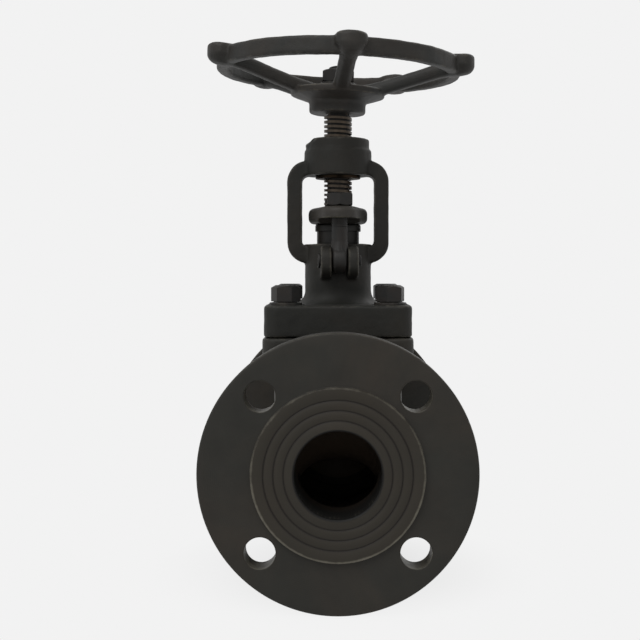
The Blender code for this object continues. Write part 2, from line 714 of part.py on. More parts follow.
def build_gland():
    bore = GLAND_BORE / 2
    barrel, collar = FOLLOWER_DIAMETER / 2, FOLLOWER_COLLAR / 2
    ledge = STUFFING_BOX_TOP + FOLLOWER_STAND
    top = ledge + FOLLOWER_COLLAR_HEIGHT
    axis = axis_empty("gland_axis", (0, 0, 0), GLAND_TURN)
    outline = [(bore, follower_bottom()), (barrel, follower_bottom()), (barrel, ledge),
               (collar, ledge), (collar, top - CAST_EDGE / 2), (collar - CAST_EDGE / 2, top),
               (bore, top)]
    piece("gland_follower", turned(outline, MEDIUM), FORGED_STEEL, parent=axis)

    end, flare = GLAND_END_RADIUS, GLAND_WIDTH / 2
    lean = math.asin((flare - end) / EYEBOLT_REACH)
    plan = []
    for centre, radius, first, last in (
            (EYEBOLT_REACH, end, lean, math.pi - lean), (0, flare, math.pi - lean, math.pi + lean),
            (-EYEBOLT_REACH, end, math.pi + lean, 2 * math.pi - lean), (0, flare, -lean, lean)):
        for k in range(CURVE_STEPS + 1):
            angle = first + (last - first) * k / CURVE_STEPS
            plan.append(Vector((radius * math.cos(angle), centre + radius * math.sin(angle))))
    bottom, height = gland_bottom(), gland_bottom() + GLAND_THICKNESS
    flange = piece("gland_flange", prism(plan, bottom, height, GLAND_ROUND, 3), FORGED_STEEL,
                   parent=axis)
    cut_tool = tool("gland_flange_bore", cylinder(bore, bottom - end, height + end, COARSE))
    boolean(flange, "DIFFERENCE", cut_tool)
    holes, reliefs = [], []
    past, rise = -2 * EYEBOLT_REACH, bottom + GLAND_END_RISE
    arch = [(-flare, bottom - end), (-flare, bottom), (-flare - GLAND_END_SLOPE, rise),
            (past, rise), (past, bottom - end)]
    for turn in (GLAND_TURN, GLAND_TURN + math.pi):
        hole = cylinder(EYEBOLT_DIAMETER / 2 + BOLT_GAP, bottom - end, height + end, COARSE)
        holes.append(moved(hole, around_stem(turn) @ Matrix.Translation((0, -EYEBOLT_REACH, 0))))
        reliefs.append(moved(prism(arch, -flare, flare), around_stem(turn) @ SIDE_ON))
    boolean(flange, "DIFFERENCE", tool("gland_flange_holes", merged(holes)))
    boolean(flange, "DIFFERENCE", tool("gland_flange_arches", merged(reliefs)))


def build_eyebolts():
    length = gland_nut_seat() + GLAND_NUT_HEIGHT - PIN_HEIGHT
    shank, eye = EYEBOLT_DIAMETER / 2, EYE_DIAMETER / 2
    side_on = Matrix.Rotation(math.pi / 2, 4, "Y")
    for turn, name in ((GLAND_TURN, "front"), (GLAND_TURN + math.pi, "rear")):
        place = around_stem(turn) @ Vector((0, -EYEBOLT_REACH, PIN_HEIGHT))
        axis = axis_empty(f"eyebolt_{name}_axis", place, turn)
        end = shank / 5
        body = turned([(0, 0), (shank, 0), (shank, length - end), (shank - end, length),
                       (0, length)], COARSE)
        bolt = piece("eyebolt_" + name, body, BLACK_BOLT, parent=axis)
        frame = Matrix.Translation(place) @ around_stem(turn)
        half = EYE_WIDTH / 2
        rounding = EYE_WIDTH / 6
        ball = turned([(0, -half), (eye - rounding, -half), (eye, rounding - half),
                       (eye, half - rounding), (eye - rounding, half), (0, half)], COARSE)
        join(bolt, "eye", ball, frame @ side_on)
        hole = cylinder(PIN_DIAMETER / 2 + SLIDE_GAP, -EAR_GAP, EAR_GAP, SMALL)
        cut(bolt, "pin_hole", hole, frame @ side_on)

        reach = EAR_GAP / 2 + EAR_THICKNESS + SEAT_GAP
        pin, head = PIN_DIAMETER / 2, PIN_HEAD_DIAMETER / 2
        tip = reach + PIN_HEAD_THICKNESS
        rod = turned([(0, -tip), (head - rounding / 2, -tip), (head, -reach - rounding / 2),
                      (head, -reach), (pin, -reach), (pin, tip - rounding / 2),
                      (pin - rounding / 2, tip), (0, tip)], SMALL)
        piece("eyebolt_pin_" + name, moved(rod, side_on), BLACK_BOLT, parent=axis)

        nut = hex_nut(BOLT_FLATS, GLAND_NUT_HEIGHT, EYEBOLT_DIAMETER + 2 * SLIDE_GAP)
        piece("gland_nut_" + name, nut, BLACK_BOLT, (0, 0, gland_nut_seat() - PIN_HEIGHT), axis)


def build_yoke_nut():
    bore = STEM_DIAMETER / 2 + SLIDE_GAP
    outer, collar = YOKE_NUT_DIAMETER / 2, YOKE_NUT_COLLAR / 2
    under = WINDOW_TOP - SEAT_GAP
    low, top = under - YOKE_NUT_COLLAR_HEIGHT, HUB_TOP - HUB_CHAMFER / 2
    piece("yoke_nut", turned([(bore, low), (collar, low), (collar, under), (outer, under),
                              (outer, top), (bore, top)], COARSE), BRONZE)
    start = outer + SEAT_GAP
    length = HUB_DIAMETER / 2 - start - HUB_CHAMFER
    screw = cylinder(SET_SCREW_DIAMETER / 2, 0, length, SMALL)
    piece("yoke_nut_set_screw", moved(screw, ALONG_FLOW), BLACK_BOLT, (0, start, SET_SCREW_HEIGHT))


def disc_bottom():
    return SEAT_TOP + SEAT_GAP + OPEN_LIFT


def stem_head_bottom():
    return disc_bottom() + DISC_FLOOR + SEAT_GAP


def build_disc():
    axis = axis_empty("disc_lift_axis", (0, 0, disc_bottom()))
    outer, cavity = DISC_DIAMETER / 2, DISC_DIAMETER / 2 - DISC_WALL
    edge = (DISC_DIAMETER - SEAT_BORE) / 4
    top = DISC_HEIGHT
    outline = [(0, 0), (outer - edge, 0), (outer, edge), (outer, top - edge), (outer - edge, top),
               (cavity, top), (cavity, DISC_FLOOR), (0, DISC_FLOOR)]
    piece("disc", turned(outline, MEDIUM), STAINLESS, parent=axis)
    thread, bore = cavity - SLIDE_GAP, STEM_NECK_DIAMETER / 2 + SLIDE_GAP
    low = DISC_FLOOR + STEM_HEAD_THICKNESS + 2 * SEAT_GAP
    seat = top + SEAT_GAP
    loops = [circle_loop(bore, low), circle_loop(thread, low), circle_loop(thread, seat)]
    loops += hexagon_loops(DISC_NUT_FLATS, seat, seat + DISC_NUT_HEAD)
    loops.append(circle_loop(bore, seat + DISC_NUT_HEAD))
    piece("disc_nut", loft(loops, ring=True), STAINLESS, parent=axis)


def build_stem():
    axis = axis_empty("stem_axis", (0, 0, 0))
    head, neck, rod = STEM_HEAD_DIAMETER / 2, STEM_NECK_DIAMETER / 2, STEM_DIAMETER / 2
    collar, tip = BACK_SEAT_DIAMETER / 2, STEM_END_DIAMETER / 2
    low = stem_head_bottom()
    cone_top = SPIGOT_BOTTOM + back_seat_cone() - BACK_SEAT_TRAVEL - SLIDE_GAP
    collar_top = cone_top - back_seat_cone()
    shoulder = WHEEL_SEAT - wheel_slack()
    end = WHEEL_SEAT + WHEEL_HUB_HEIGHT + WHEEL_WASHER_THICKNESS + WHEEL_NUT_HEIGHT \
        + BOLT_GAP * 4 + HUB_CHAMFER
    outline = [(0, low), (head, low), (head, low + STEM_HEAD_THICKNESS),
               (neck, low + STEM_HEAD_THICKNESS), (neck, collar_top - BACK_SEAT_COLLAR),
               (collar, collar_top - BACK_SEAT_COLLAR), (collar, collar_top), (rod, cone_top),
               (rod, shoulder), (STEM_SQUARE / 2 - SLIDE_GAP, shoulder),
               (STEM_SQUARE / 2 - SLIDE_GAP, shoulder + HUB_CHAMFER), (tip, shoulder + HUB_CHAMFER),
               (tip, end - HUB_CHAMFER / 2), (tip - HUB_CHAMFER / 2, end), (0, end)]
    stem = piece("stem", turned(outline, COARSE), STEM_STEEL, parent=axis)
    square = prism(block_outline(STEM_SQUARE, STEM_SQUARE, STEM_SQUARE / 12),
                   shoulder - HUB_CHAMFER, WHEEL_SEAT + WHEEL_HUB_HEIGHT - HUB_CHAMFER)
    join(stem, "square", square)
    return axis


def wheel_slack():
    """Room that the tilted hub needs over the stem's shoulder."""
    return SEAT_GAP + STEM_DIAMETER / 2 * math.sin(WHEEL_TILT)


def lobe_share(angle):
    """0 on the plain rim, 1 at the middle of a lobe."""
    pitch = 2 * math.pi / WHEEL_SPOKES
    off = abs((angle - WHEEL_TURN + math.pi / 2 + pitch / 2) % pitch - pitch / 2)
    half = LOBE_WIDTH / 2 / (RIM_RADIUS + LOBE_REACH)
    return math.sqrt(max(0.0, 1 - (off / half) ** 2)) if off < half else 0.0


def rim_ring():
    """The rim: a rounded band whose section swells into a lobe at each spoke."""
    pitch = 2 * math.pi / WHEEL_SPOKES
    half = LOBE_WIDTH / 2 / (RIM_RADIUS + LOBE_REACH)
    offsets = [half * math.sin(math.pi / 2 * k / LOBE_STEPS)
               for k in range(-LOBE_STEPS, LOBE_STEPS + 1)]
    plain = [half + (pitch - 2 * half) * k / CURVE_STEPS for k in range(1, CURVE_STEPS)]
    loops = []
    for spoke in range(WHEEL_SPOKES):
        start = WHEEL_TURN - math.pi / 2 + spoke * pitch
        for off in offsets + plain:
            angle = start + off
            share = lobe_share(angle)
            outer = RIM_RADIUS + LOBE_REACH * share
            tall = RIM_HEIGHT + (LOBE_HEIGHT - RIM_HEIGHT) * share
            inner = RIM_RADIUS - RIM_WIDTH
            corner = min(RIM_WIDTH, RIM_HEIGHT) / 3
            section = filleted([(inner, -tall / 2, corner), (outer, -tall / 2, corner * (1 + share)),
                                (outer, tall / 2, corner), (inner, tall / 2, corner)], steps=1)
            loops.append([polar(p.x, angle, RIM_MIDDLE + p.y) for p in section])
    return loft(loops, ring=True)


def spoke(number):
    """One spoke: it leaves the hub level, rises to the rim and widens at both ends."""
    angle = WHEEL_TURN - math.pi / 2 + number * 2 * math.pi / WHEEL_SPOKES
    inner = WHEEL_HUB_DIAMETER / 2 - SPOKE_BITE
    outer = RIM_RADIUS - RIM_WIDTH / 2
    low = WHEEL_SEAT + SPOKE_ROOT_HEIGHT
    loops = []
    for k in range(CURVE_STEPS + 1):
        share = k / CURVE_STEPS
        radius = inner + (outer - inner) * share
        ease = share * share * (3 - 2 * share)
        rise = SPOKE_STRAIGHTNESS * share + (1 - SPOKE_STRAIGHTNESS) * ease
        middle = low + (RIM_MIDDLE - low) * rise
        flare = (2 * share - 1) ** 4
        width = SPOKE_WIDTH + (SPOKE_ROOT_WIDTH - SPOKE_WIDTH) * flare
        half, thick = width / 2, SPOKE_THICKNESS / 2
        section = filleted([(-half, -thick, half / 3), (half, -thick, half / 3),
                            (half, thick, half / 2), (-half, thick, half / 2)], steps=1)
        loops.append([(p.x, radius, middle + p.y) for p in section])
    return moved(loft(loops), Matrix.Rotation(angle - math.pi / 2, 4, "Z"))


def build_handwheel(stem_axis):
    hub_top = WHEEL_SEAT + WHEEL_HUB_HEIGHT
    seat = axis_empty("handwheel_seat", (0, 0, hub_top), parent=stem_axis)
    seat.rotation_euler.y = WHEEL_TILT
    tilt = Matrix.Translation((0, 0, hub_top)) @ Matrix.Rotation(WHEEL_TILT, 4, "Y")
    frame = tilt @ Matrix.Translation((0, 0, -hub_top))
    hub, edge, low = WHEEL_HUB_DIAMETER / 2, CAST_EDGE, -WHEEL_HUB_HEIGHT
    outline = [(0, low), (hub - edge, low), (hub, low + edge), (hub, -edge), (hub - edge, 0), (0, 0)]
    wheel = piece("handwheel", turned(outline, MEDIUM), CAST_IRON, parent=seat)
    rim_side = hub_top - DISH_DEPTH - DISH_EDGE
    dish = turned([(0, rim_side - DISH_DROP), (hub, rim_side - DISH_DROP), (DISH_RADIUS, rim_side),
                   (DISH_RADIUS, rim_side + DISH_EDGE), (0, rim_side + DISH_EDGE)], MEDIUM)
    for number in range(WHEEL_SPOKES):
        join(wheel, f"spoke_{number + 1}", spoke(number), frame)
    join(wheel, "dish", dish, frame)
    join(wheel, "rim", rim_ring(), frame)
    bore = STEM_SQUARE + 2 * SLIDE_GAP
    hole = prism(block_outline(bore, bore, STEM_SQUARE / 12), WHEEL_SEAT - hub, hub_top + hub)
    cut(wheel, "square_bore", hole)

    bore = STEM_END_DIAMETER + 4 * SLIDE_GAP
    ring = washer(WHEEL_WASHER_DIAMETER, bore, WHEEL_WASHER_THICKNESS)
    piece("wheel_washer", ring, BLACK_BOLT, (0, 0, SEAT_GAP), seat)
    nut = hex_nut(WHEEL_NUT_FLATS, WHEEL_NUT_HEIGHT, bore)
    piece("wheel_nut", nut, BLACK_BOLT, (0, 0, WHEEL_WASHER_THICKNESS + 2 * SEAT_GAP), seat)


start_empty()
build_body()
build_seat_ring()
build_gasket()
build_bonnet()
build_bonnet_bolts()
build_bushing()
build_packing()
build_gland()
build_eyebolts()
build_yoke_nut()
build_disc()
build_handwheel(build_stem())
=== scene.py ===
"""The finish of a flanged globe valve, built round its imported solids.

The stem runs up Z and the flow runs along Y, from the front flange to the rear one. Shapes are
drawn in millimetres, and each is turned to metres when it gets its material.
"""
import math

import bmesh
import bpy
import numpy as np
from mathutils import Euler, Matrix, Vector


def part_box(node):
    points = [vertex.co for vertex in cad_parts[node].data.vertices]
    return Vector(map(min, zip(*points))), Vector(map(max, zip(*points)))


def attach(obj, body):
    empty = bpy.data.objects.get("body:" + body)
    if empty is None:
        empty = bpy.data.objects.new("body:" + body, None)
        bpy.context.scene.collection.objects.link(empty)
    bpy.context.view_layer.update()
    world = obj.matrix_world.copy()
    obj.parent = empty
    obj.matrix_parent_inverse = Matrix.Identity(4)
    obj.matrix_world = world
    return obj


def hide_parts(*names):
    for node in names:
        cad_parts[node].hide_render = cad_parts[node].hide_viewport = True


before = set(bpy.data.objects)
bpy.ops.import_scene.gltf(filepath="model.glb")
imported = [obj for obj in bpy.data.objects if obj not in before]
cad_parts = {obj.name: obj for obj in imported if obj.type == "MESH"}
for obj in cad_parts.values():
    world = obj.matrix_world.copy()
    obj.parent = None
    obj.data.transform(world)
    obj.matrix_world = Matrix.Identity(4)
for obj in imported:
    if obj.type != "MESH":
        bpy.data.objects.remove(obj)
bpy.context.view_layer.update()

# Body: one steel casting with two round pipe flanges and a square bonnet flange. The flanges
# are faced in a lathe, with three gasket grooves, and all of it is then blackened.
ALONG_FLOW = Matrix.Rotation(-math.pi / 2, 4, "X")
HALF_TURN = Matrix.Rotation(math.pi, 4, "Z")


def box(node):
    """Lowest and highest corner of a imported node, in millimetres."""
    low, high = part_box(node)
    return low * 1000, high * 1000


def rounded(corners, steps=6):
    """Outline points whose (x, y, radius) corners are turned into arcs."""
    points = []
    for i, (x, y, radius) in enumerate(corners):
        corner = Vector((x, y))
        if not radius:
            points.append((x, y))
            continue
        before = (Vector(corners[i - 1][:2]) - corner).normalized()
        after = (Vector(corners[(i + 1) % len(corners)][:2]) - corner).normalized()
        half = before.angle(after) / 2
        centre = corner + (before + after).normalized() * radius / math.sin(half)
        start = corner + before * radius / math.tan(half) - centre
        end = corner + after * radius / math.tan(half) - centre
        first = math.atan2(start.y, start.x)
        sweep = (math.atan2(end.y, end.x) - first + math.pi) % (2 * math.pi) - math.pi
        for k in range(steps + 1):
            angle = first + sweep * k / steps
            points.append((centre.x + radius * math.cos(angle),
                           centre.y + radius * math.sin(angle)))
    return points


def ringed(points, spacing):
    """The same outline with extra points along its long straight runs."""
    dense = []
    for (x0, y0), (x1, y1) in zip(points, points[1:]):
        count = max(1, round(math.hypot(x1 - x0, y1 - y0) / spacing))
        dense += [(x0 + (x1 - x0) * k / count, y0 + (y1 - y0) * k / count) for k in range(count)]
    return dense + [points[-1]]


def closed(bm):
    """Weld a shape's seams and point its faces out."""
    bmesh.ops.remove_doubles(bm, verts=bm.verts, dist=0.0005)
    bmesh.ops.recalc_face_normals(bm, faces=bm.faces)
    return bm


def turned(outline, facets=96):
    """Turn (radius, height) points about Z: a ring, or a solid when both ends are on the axis."""
    bm = bmesh.new()
    verts = [bm.verts.new((radius, 0, height)) for radius, height in outline]
    hollow = outline[0][0] > 0
    ends = verts[1:] + verts[:1] if hollow else verts[1:]
    edges = [bm.edges.new(pair) for pair in zip(verts, ends)]
    bmesh.ops.spin(bm, geom=verts + edges, cent=(0, 0, 0), axis=(0, 0, 1),
                   angle=2 * math.pi, steps=facets, use_merge=True)
    return closed(bm)


def rod(radius, low, high, facets=48):
    return turned([(0, low), (radius, low), (radius, high), (0, high)], facets)


def prism(outline, low, high, edge=0.0, steps=4):
    """An outline drawn in XY, raised from low to high, with its end edges rounded."""
    bm = bmesh.new()
    face = bm.faces.new([bm.verts.new((x, y, low)) for x, y in outline])
    raised = bmesh.ops.extrude_face_region(bm, geom=[face])["geom"]
    top = [item for item in raised if isinstance(item, bmesh.types.BMVert)]
    bmesh.ops.translate(bm, verts=top, vec=(0, 0, high - low))
    closed(bm)
    if edge:
        rims = [e for e in bm.edges if abs(e.verts[0].co.z - e.verts[1].co.z) < 1e-4]
        bmesh.ops.bevel(bm, geom=rims, offset=edge, segments=steps, profile=0.5,
                        affect="EDGES", clamp_overlap=True)
    return closed(bm)


def loft(loops):
    """A solid skinned over loops of equally many points."""
    bm = bmesh.new()
    rows = [[bm.verts.new(point) for point in loop] for loop in loops]
    for lower, upper in zip(rows, rows[1:]):
        for k in range(len(lower)):
            after = (k + 1) % len(lower)
            bm.faces.new((lower[k], lower[after], upper[after], upper[k]))
    bm.faces.new(rows[0])
    bm.faces.new(rows[-1])
    return closed(bm)


def square(width, depth, corner):
    x, y = width / 2, depth / 2
    return rounded([(-x, -y, corner), (x, -y, corner), (x, y, corner), (-x, y, corner)])


def solid(name, bm, *matrices):
    """An object from a drawn shape, placed in its mesh by each matrix in turn."""
    for matrix in matrices:
        bm.transform(matrix)
    mesh = bpy.data.meshes.new(name)
    bm.to_mesh(mesh)
    bm.free()
    made = bpy.data.objects.new(name, mesh)
    bpy.context.collection.objects.link(made)
    return made


def settled(made):
    """The object with its modifiers turned into plain mesh."""
    bpy.context.view_layer.update()
    graph = bpy.context.evaluated_depsgraph_get()
    mesh = bpy.data.meshes.new_from_object(made.evaluated_get(graph))
    made.modifiers.clear()
    made.data = mesh
    return made


def worked(operation, target, others):
    """Unite the others with the target, or cut them out of it."""
    for other in others:
        step = target.modifiers.new(other.name, "BOOLEAN")
        step.operation = operation
        step.solver = "MANIFOLD"
        step.object = other
    settled(target)
    for other in others:
        bpy.data.objects.remove(other)
    return target


def joined(shapes):
    """Several shapes in one object, overlapping as they are."""
    whole = bmesh.new()
    for other in shapes:
        whole.from_mesh(other.data)
        bpy.data.objects.remove(other)
    return solid("joined", whole)


def cast(made, grain, rounding, ripple=0.0, ripple_size=9.0):
    """Give a drawn shape the soft edges, the fillets and the uneven skin of a casting."""
    remesh = made.modifiers.new("mould", "REMESH")
    remesh.mode = "VOXEL"
    remesh.voxel_size = grain
    soften = made.modifiers.new("soften", "SMOOTH")
    soften.factor = 0.5
    soften.iterations = rounding
    if ripple:
        texture = bpy.data.textures.new("sand skin", "CLOUDS")
        texture.noise_scale = ripple_size
        texture.noise_depth = 2
        uneven = made.modifiers.new("skin", "DISPLACE")
        uneven.texture = texture
        uneven.texture_coords = "LOCAL"
        uneven.strength = ripple
        uneven.mid_level = 0.5
    return settled(made)


def mark_edges(mesh, spread=2):
    """Store how far each point stands out from those round it, so that edges can look worn."""
    count = len(mesh.vertices)
    place, normal = np.empty(count * 3), np.empty(count * 3)
    mesh.vertices.foreach_get("co", place)
    mesh.vertices.foreach_get("normal", normal)
    place, normal = place.reshape(-1, 3), normal.reshape(-1, 3)
    ends = np.empty(len(mesh.edges) * 2, int)
    mesh.edges.foreach_get("vertices", ends)
    first, second = ends.reshape(-1, 2).T
    step = place[second] - place[first]
    step /= np.maximum(np.linalg.norm(step, axis=1), 1e-9)[:, None]
    shares = np.bincount(first, minlength=count) + np.bincount(second, minlength=count)
    shares = np.maximum(shares, 1)
    out = np.bincount(first, -(step * normal[first]).sum(1), count)
    out += np.bincount(second, (step * normal[second]).sum(1), count)
    out /= shares
    for _ in range(spread):
        near = np.bincount(first, out[second], count) + np.bincount(second, out[first], count)
        out = (out + near / shares) / 2
    mesh.attributes.new("edge_wear", "FLOAT", "POINT").data.foreach_set("value", out)


def dress(made, name, material, sharp=38):
    """Name a finished shape, turn it to metres and give it its surface."""
    made.name = name
    mesh = made.data
    mesh.transform(Matrix.Scale(0.001, 4))
    mesh.materials.clear()
    mesh.materials.append(material)
    mesh.shade_smooth()
    mesh.set_sharp_from_angle(angle=math.radians(sharp))
    mark_edges(mesh)
    return made


def linear(code):
    """A six-figure sRGB hex colour as linear red, green, blue and alpha."""
    parts = [int(code[k:k + 2], 16) / 255 for k in (1, 3, 5)]
    return (*[p / 12.92 if p < 0.04045 else ((p + 0.055) / 1.055) ** 2.4 for p in parts], 1)


def connect(tree, node, links):
    """Give each named input of a node a value, an output, or another node's first output."""
    for key, value in links.items():
        if isinstance(value, bpy.types.Node):
            value = value.outputs[0]
        if isinstance(value, bpy.types.NodeSocket):
            tree.links.new(value, node.inputs[key])
        else:
            node.inputs[key].default_value = value


def add(tree, kind, links=None, **settings):
    """Add a node with its settings and its inputs."""
    made = tree.nodes.new(kind)
    for key, value in settings.items():
        setattr(made, key, value)
    connect(tree, made, links or {})
    return made


def new_surface(name):
    """A new material: itself, its tree, its shader, and the place on a piece in millimetres."""
    material = bpy.data.materials.new(name)
    material.use_nodes = True
    tree = material.node_tree
    place = add(tree, "ShaderNodeTexCoord").outputs["Object"]
    spot = add(tree, "ShaderNodeMapping", {"Vector": place, "Scale": (1000,) * 3}).outputs[0]
    return material, tree, tree.nodes["Principled BSDF"], spot


def blackened(name, soot, rust, worn, roughness, specular, grain=0.9, relief=0.07, patch=70.0,
              rubbing=1.5, faced=False):
    """Iron oxide over cast or forged steel: nearly matt, patchy brown-black, bare at the edges."""
    wave_size, wave_share = 6.0, 1.4
    rub_size, rub_share, bare_from, bare_full, polish = 7.0, 0.30, 0.26, 0.46, 0.17
    material, tree, shader, spot = new_surface(name)
    blotch = add(tree, "ShaderNodeTexNoise", {"Vector": spot, "Scale": 1 / patch, "Detail": 4.0,
                                              "Roughness": 0.6, "Distortion": 0.6})
    share = add(tree, "ShaderNodeMapRange", {"Value": blotch, "From Min": 0.40, "From Max": 0.72})
    colour = add(tree, "ShaderNodeMix", {0: share, 6: linear(soot), 7: linear(rust)},
                 data_type="RGBA")
    cloud = add(tree, "ShaderNodeTexNoise", {"Vector": spot, "Scale": 4 / patch, "Detail": 5.0,
                                             "Roughness": 0.6})
    dark = add(tree, "ShaderNodeMapRange", {"Value": cloud, "From Min": 0.3, "From Max": 0.7,
                                            "To Min": 0.84, "To Max": 1.12})
    grey = add(tree, "ShaderNodeCombineColor", {k: dark for k in range(3)})
    mottled = add(tree, "ShaderNodeMix", {0: 1.0, 6: colour.outputs[2], 7: grey},
                  data_type="RGBA", blend_type="MULTIPLY").outputs[2]
    edge = add(tree, "ShaderNodeAttribute", attribute_name="edge_wear").outputs["Fac"]
    reached = add(tree, "ShaderNodeMath", {0: edge, 1: rubbing}, operation="MULTIPLY")
    wave = add(tree, "ShaderNodeTexNoise", {"Vector": spot, "Scale": 1 / wave_size,
                                            "Detail": 1.0})
    sand = add(tree, "ShaderNodeTexNoise", {"Vector": spot, "Scale": 1 / grain, "Detail": 3.0,
                                            "Roughness": 0.55})
    skin = add(tree, "ShaderNodeMath", {0: wave, 1: wave_share, 2: sand},
               operation="MULTIPLY_ADD")
    if faced:
        mottled = port_colours(tree, spot, mottled)
        reached = rubbed_and_lit_rim(tree, spot, reached)
        skin = lathe_marks(tree, spot, skin)
    rub = add(tree, "ShaderNodeTexNoise", {"Vector": spot, "Scale": 1 / rub_size, "Detail": 5.0,
                                           "Roughness": 0.7})
    level = add(tree, "ShaderNodeMath", {0: rub, 1: rub_share, 2: reached},
                operation="MULTIPLY_ADD")
    bare = add(tree, "ShaderNodeMapRange", {"Value": level, "From Min": bare_from,
                                            "From Max": bare_full})
    finished = add(tree, "ShaderNodeMix", {0: bare, 6: mottled, 7: linear(worn)},
                   data_type="RGBA")
    matt = add(tree, "ShaderNodeMapRange", {"Value": bare, "To Min": roughness,
                                            "To Max": roughness - polish})
    bump = add(tree, "ShaderNodeBump", {"Height": skin, "Distance": relief / 1000,
                                        "Strength": 1.0})
    connect(tree, shader, {"Base Color": finished.outputs[2], "Roughness": matt,
                           "Specular IOR Level": specular, "Normal": bump})
    return material


def about(tree, spot, axis):
    """Distance from an axis of the valve, then the place along X, Y and Z."""
    apart = add(tree, "ShaderNodeSeparateXYZ", {0: spot}).outputs
    level = add(tree, "ShaderNodeCombineXYZ", {k: apart[k] for k in range(3) if k != axis})
    radius = add(tree, "ShaderNodeVectorMath", {0: level}, operation="LENGTH")
    return radius.outputs["Value"], *apart


def port_colours(tree, spot, skin):
    """The raised ring round each port is browner and its grooves darker; near the mouth its bore
    is painted soot black, as soot and painted shade, and rust brown deeper in.
    """
    brown, groove_tone, soot, rusty = (linear(c) for c in ("#2F2A22", "#171310", "#0F0F0E", "#4A3F34"))
    soot_shade_from, soot_shade_full, grime_share = 55.0, 95.0, 0.92
    radius, _, along, _ = about(tree, spot, 1)
    depth = add(tree, "ShaderNodeMath", {0: along}, operation="ABSOLUTE")
    on_ring = add(tree, "ShaderNodeMapRange", {"Value": depth, "From Min": face - 1.6,
                                               "From Max": face - 0.8, "To Max": 0.55})
    browned = add(tree, "ShaderNodeMix", {0: on_ring, 6: skin, 7: brown}, data_type="RGBA")
    # The grooves are drawn darker than the face round them.
    half_step = (groove_radii[1] - groove_radii[0]) / 2
    from_first = add(tree, "ShaderNodeMath", {0: radius, 1: -groove_radii[0]})
    beside = add(tree, "ShaderNodeMath", {0: from_first, 1: half_step, 2: -half_step},
                 operation="WRAP")
    away = add(tree, "ShaderNodeMath", {0: beside}, operation="ABSOLUTE")
    in_groove = add(tree, "ShaderNodeMapRange", {"Value": away, "From Min": 0.25, "From Max": 0.9,
                                                 "To Min": 0.75, "To Max": 0.0})
    in_reach = add(tree, "ShaderNodeMapRange", {
        "Value": radius, "From Min": groove_radii[-1] + 1, "From Max": groove_radii[-1] + 1.5,
        "To Min": 1.0, "To Max": 0.0})
    groove_darkening = add(tree, "ShaderNodeMath", {0: in_groove, 1: in_reach}, operation="MULTIPLY")
    grooved = add(tree, "ShaderNodeMix", {0: groove_darkening, 6: browned.outputs[2], 7: groove_tone},
                  data_type="RGBA")
    # Near the mouth the bore is painted soot black: partly soot, partly painted shade inside the
    # port.
    soot_and_shade = add(tree, "ShaderNodeMapRange", {"Value": depth, "From Min": soot_shade_from,
                                             "From Max": soot_shade_full})
    lining = add(tree, "ShaderNodeMix", {0: soot_and_shade, 6: rusty, 7: soot}, data_type="RGBA")
    inside = add(tree, "ShaderNodeMapRange", {
        "Value": radius, "From Min": mouth + 0.8, "From Max": mouth + 1.8,
        "To Min": grime_share, "To Max": 0.0})
    return add(tree, "ShaderNodeMix", {0: inside, 6: grooved.outputs[2], 7: lining.outputs[2]},
               data_type="RGBA").outputs[2]


def rubbed_and_lit_rim(tree, spot, reached):
    """A raised ring is rubbed bare only on its outer edge, and the line is painted brighter low
    down, as a painted highlight of light from below.
    """
    line_radius, line_wear_and_highlight, highlight_share_above = raised_radius - 0.4, 0.26, 0.55
    radius, _, along, height = about(tree, spot, 1)
    past_line = add(tree, "ShaderNodeMath", {0: radius, 1: -line_radius})
    off_line = add(tree, "ShaderNodeMath", {0: past_line}, operation="ABSOLUTE")
    line = add(tree, "ShaderNodeMapRange", {"Value": off_line, "From Min": 0.3, "From Max": 1.6,
                                            "To Min": line_wear_and_highlight, "To Max": 0.0})
    # Lower on the ring the worn line is painted brighter, as a painted highlight of light from
    # below.
    lit_from_below = add(tree, "ShaderNodeMapRange", {"Value": height, "From Min": -35.0,
                                                  "From Max": 45.0, "To Min": 1.0,
                                                  "To Max": highlight_share_above})
    worn = add(tree, "ShaderNodeMath", {0: line, 1: lit_from_below}, operation="MULTIPLY")
    depth = add(tree, "ShaderNodeMath", {0: along}, operation="ABSOLUTE")
    on_face = add(tree, "ShaderNodeMapRange", {"Value": depth, "From Min": face - 3.3,
                                               "From Max": face - 3.1})
    return add(tree, "ShaderNodeMix", {0: on_face, 2: reached, 3: worn})


def lathe_marks(tree, spot, cast_skin):
    """On the flange faces the cast skin is cut away, and fine rings run about the flow line."""
    wobble_size, wobble, skin_left, ring_share = 25.0, 0.7, 0.35, 0.06
    radius, _, along, _ = about(tree, spot, 1)
    drift = add(tree, "ShaderNodeTexNoise", {"Vector": spot, "Scale": 1 / wobble_size})
    shifted = add(tree, "ShaderNodeMath", {0: drift, 1: wobble, 2: radius},
                  operation="MULTIPLY_ADD")
    turns = add(tree, "ShaderNodeMath", {0: shifted, 1: 2 * math.pi / feed},
                operation="MULTIPLY")
    rings = add(tree, "ShaderNodeMath", {0: turns}, operation="SINE")
    shallow = add(tree, "ShaderNodeMath", {0: rings, 1: ring_share}, operation="MULTIPLY")
    marked = add(tree, "ShaderNodeMath", {0: cast_skin, 1: skin_left, 2: shallow},
                 operation="MULTIPLY_ADD")
    depth = add(tree, "ShaderNodeMath", {0: along}, operation="ABSOLUTE")
    on_face = add(tree, "ShaderNodeMapRange", {"Value": depth, "From Min": face - 4.1,
                                               "From Max": face - 3.7})
    return add(tree, "ShaderNodeMix", {0: on_face, 2: cast_skin, 3: marked})


body_low, body_high = box("body")
face, flange_radius = body_high.y, -body_low.z
raised_radius, raised_height, flange_thickness = 49.5, 3.0, 17.0
flange_face, flange_back = face - raised_height, face - raised_height - flange_thickness
groove_radii, groove_width, groove_depth = (30.8, 36.55, 42.3), 1.3, 0.45
mouth, port_radius = 24.6, 25.0
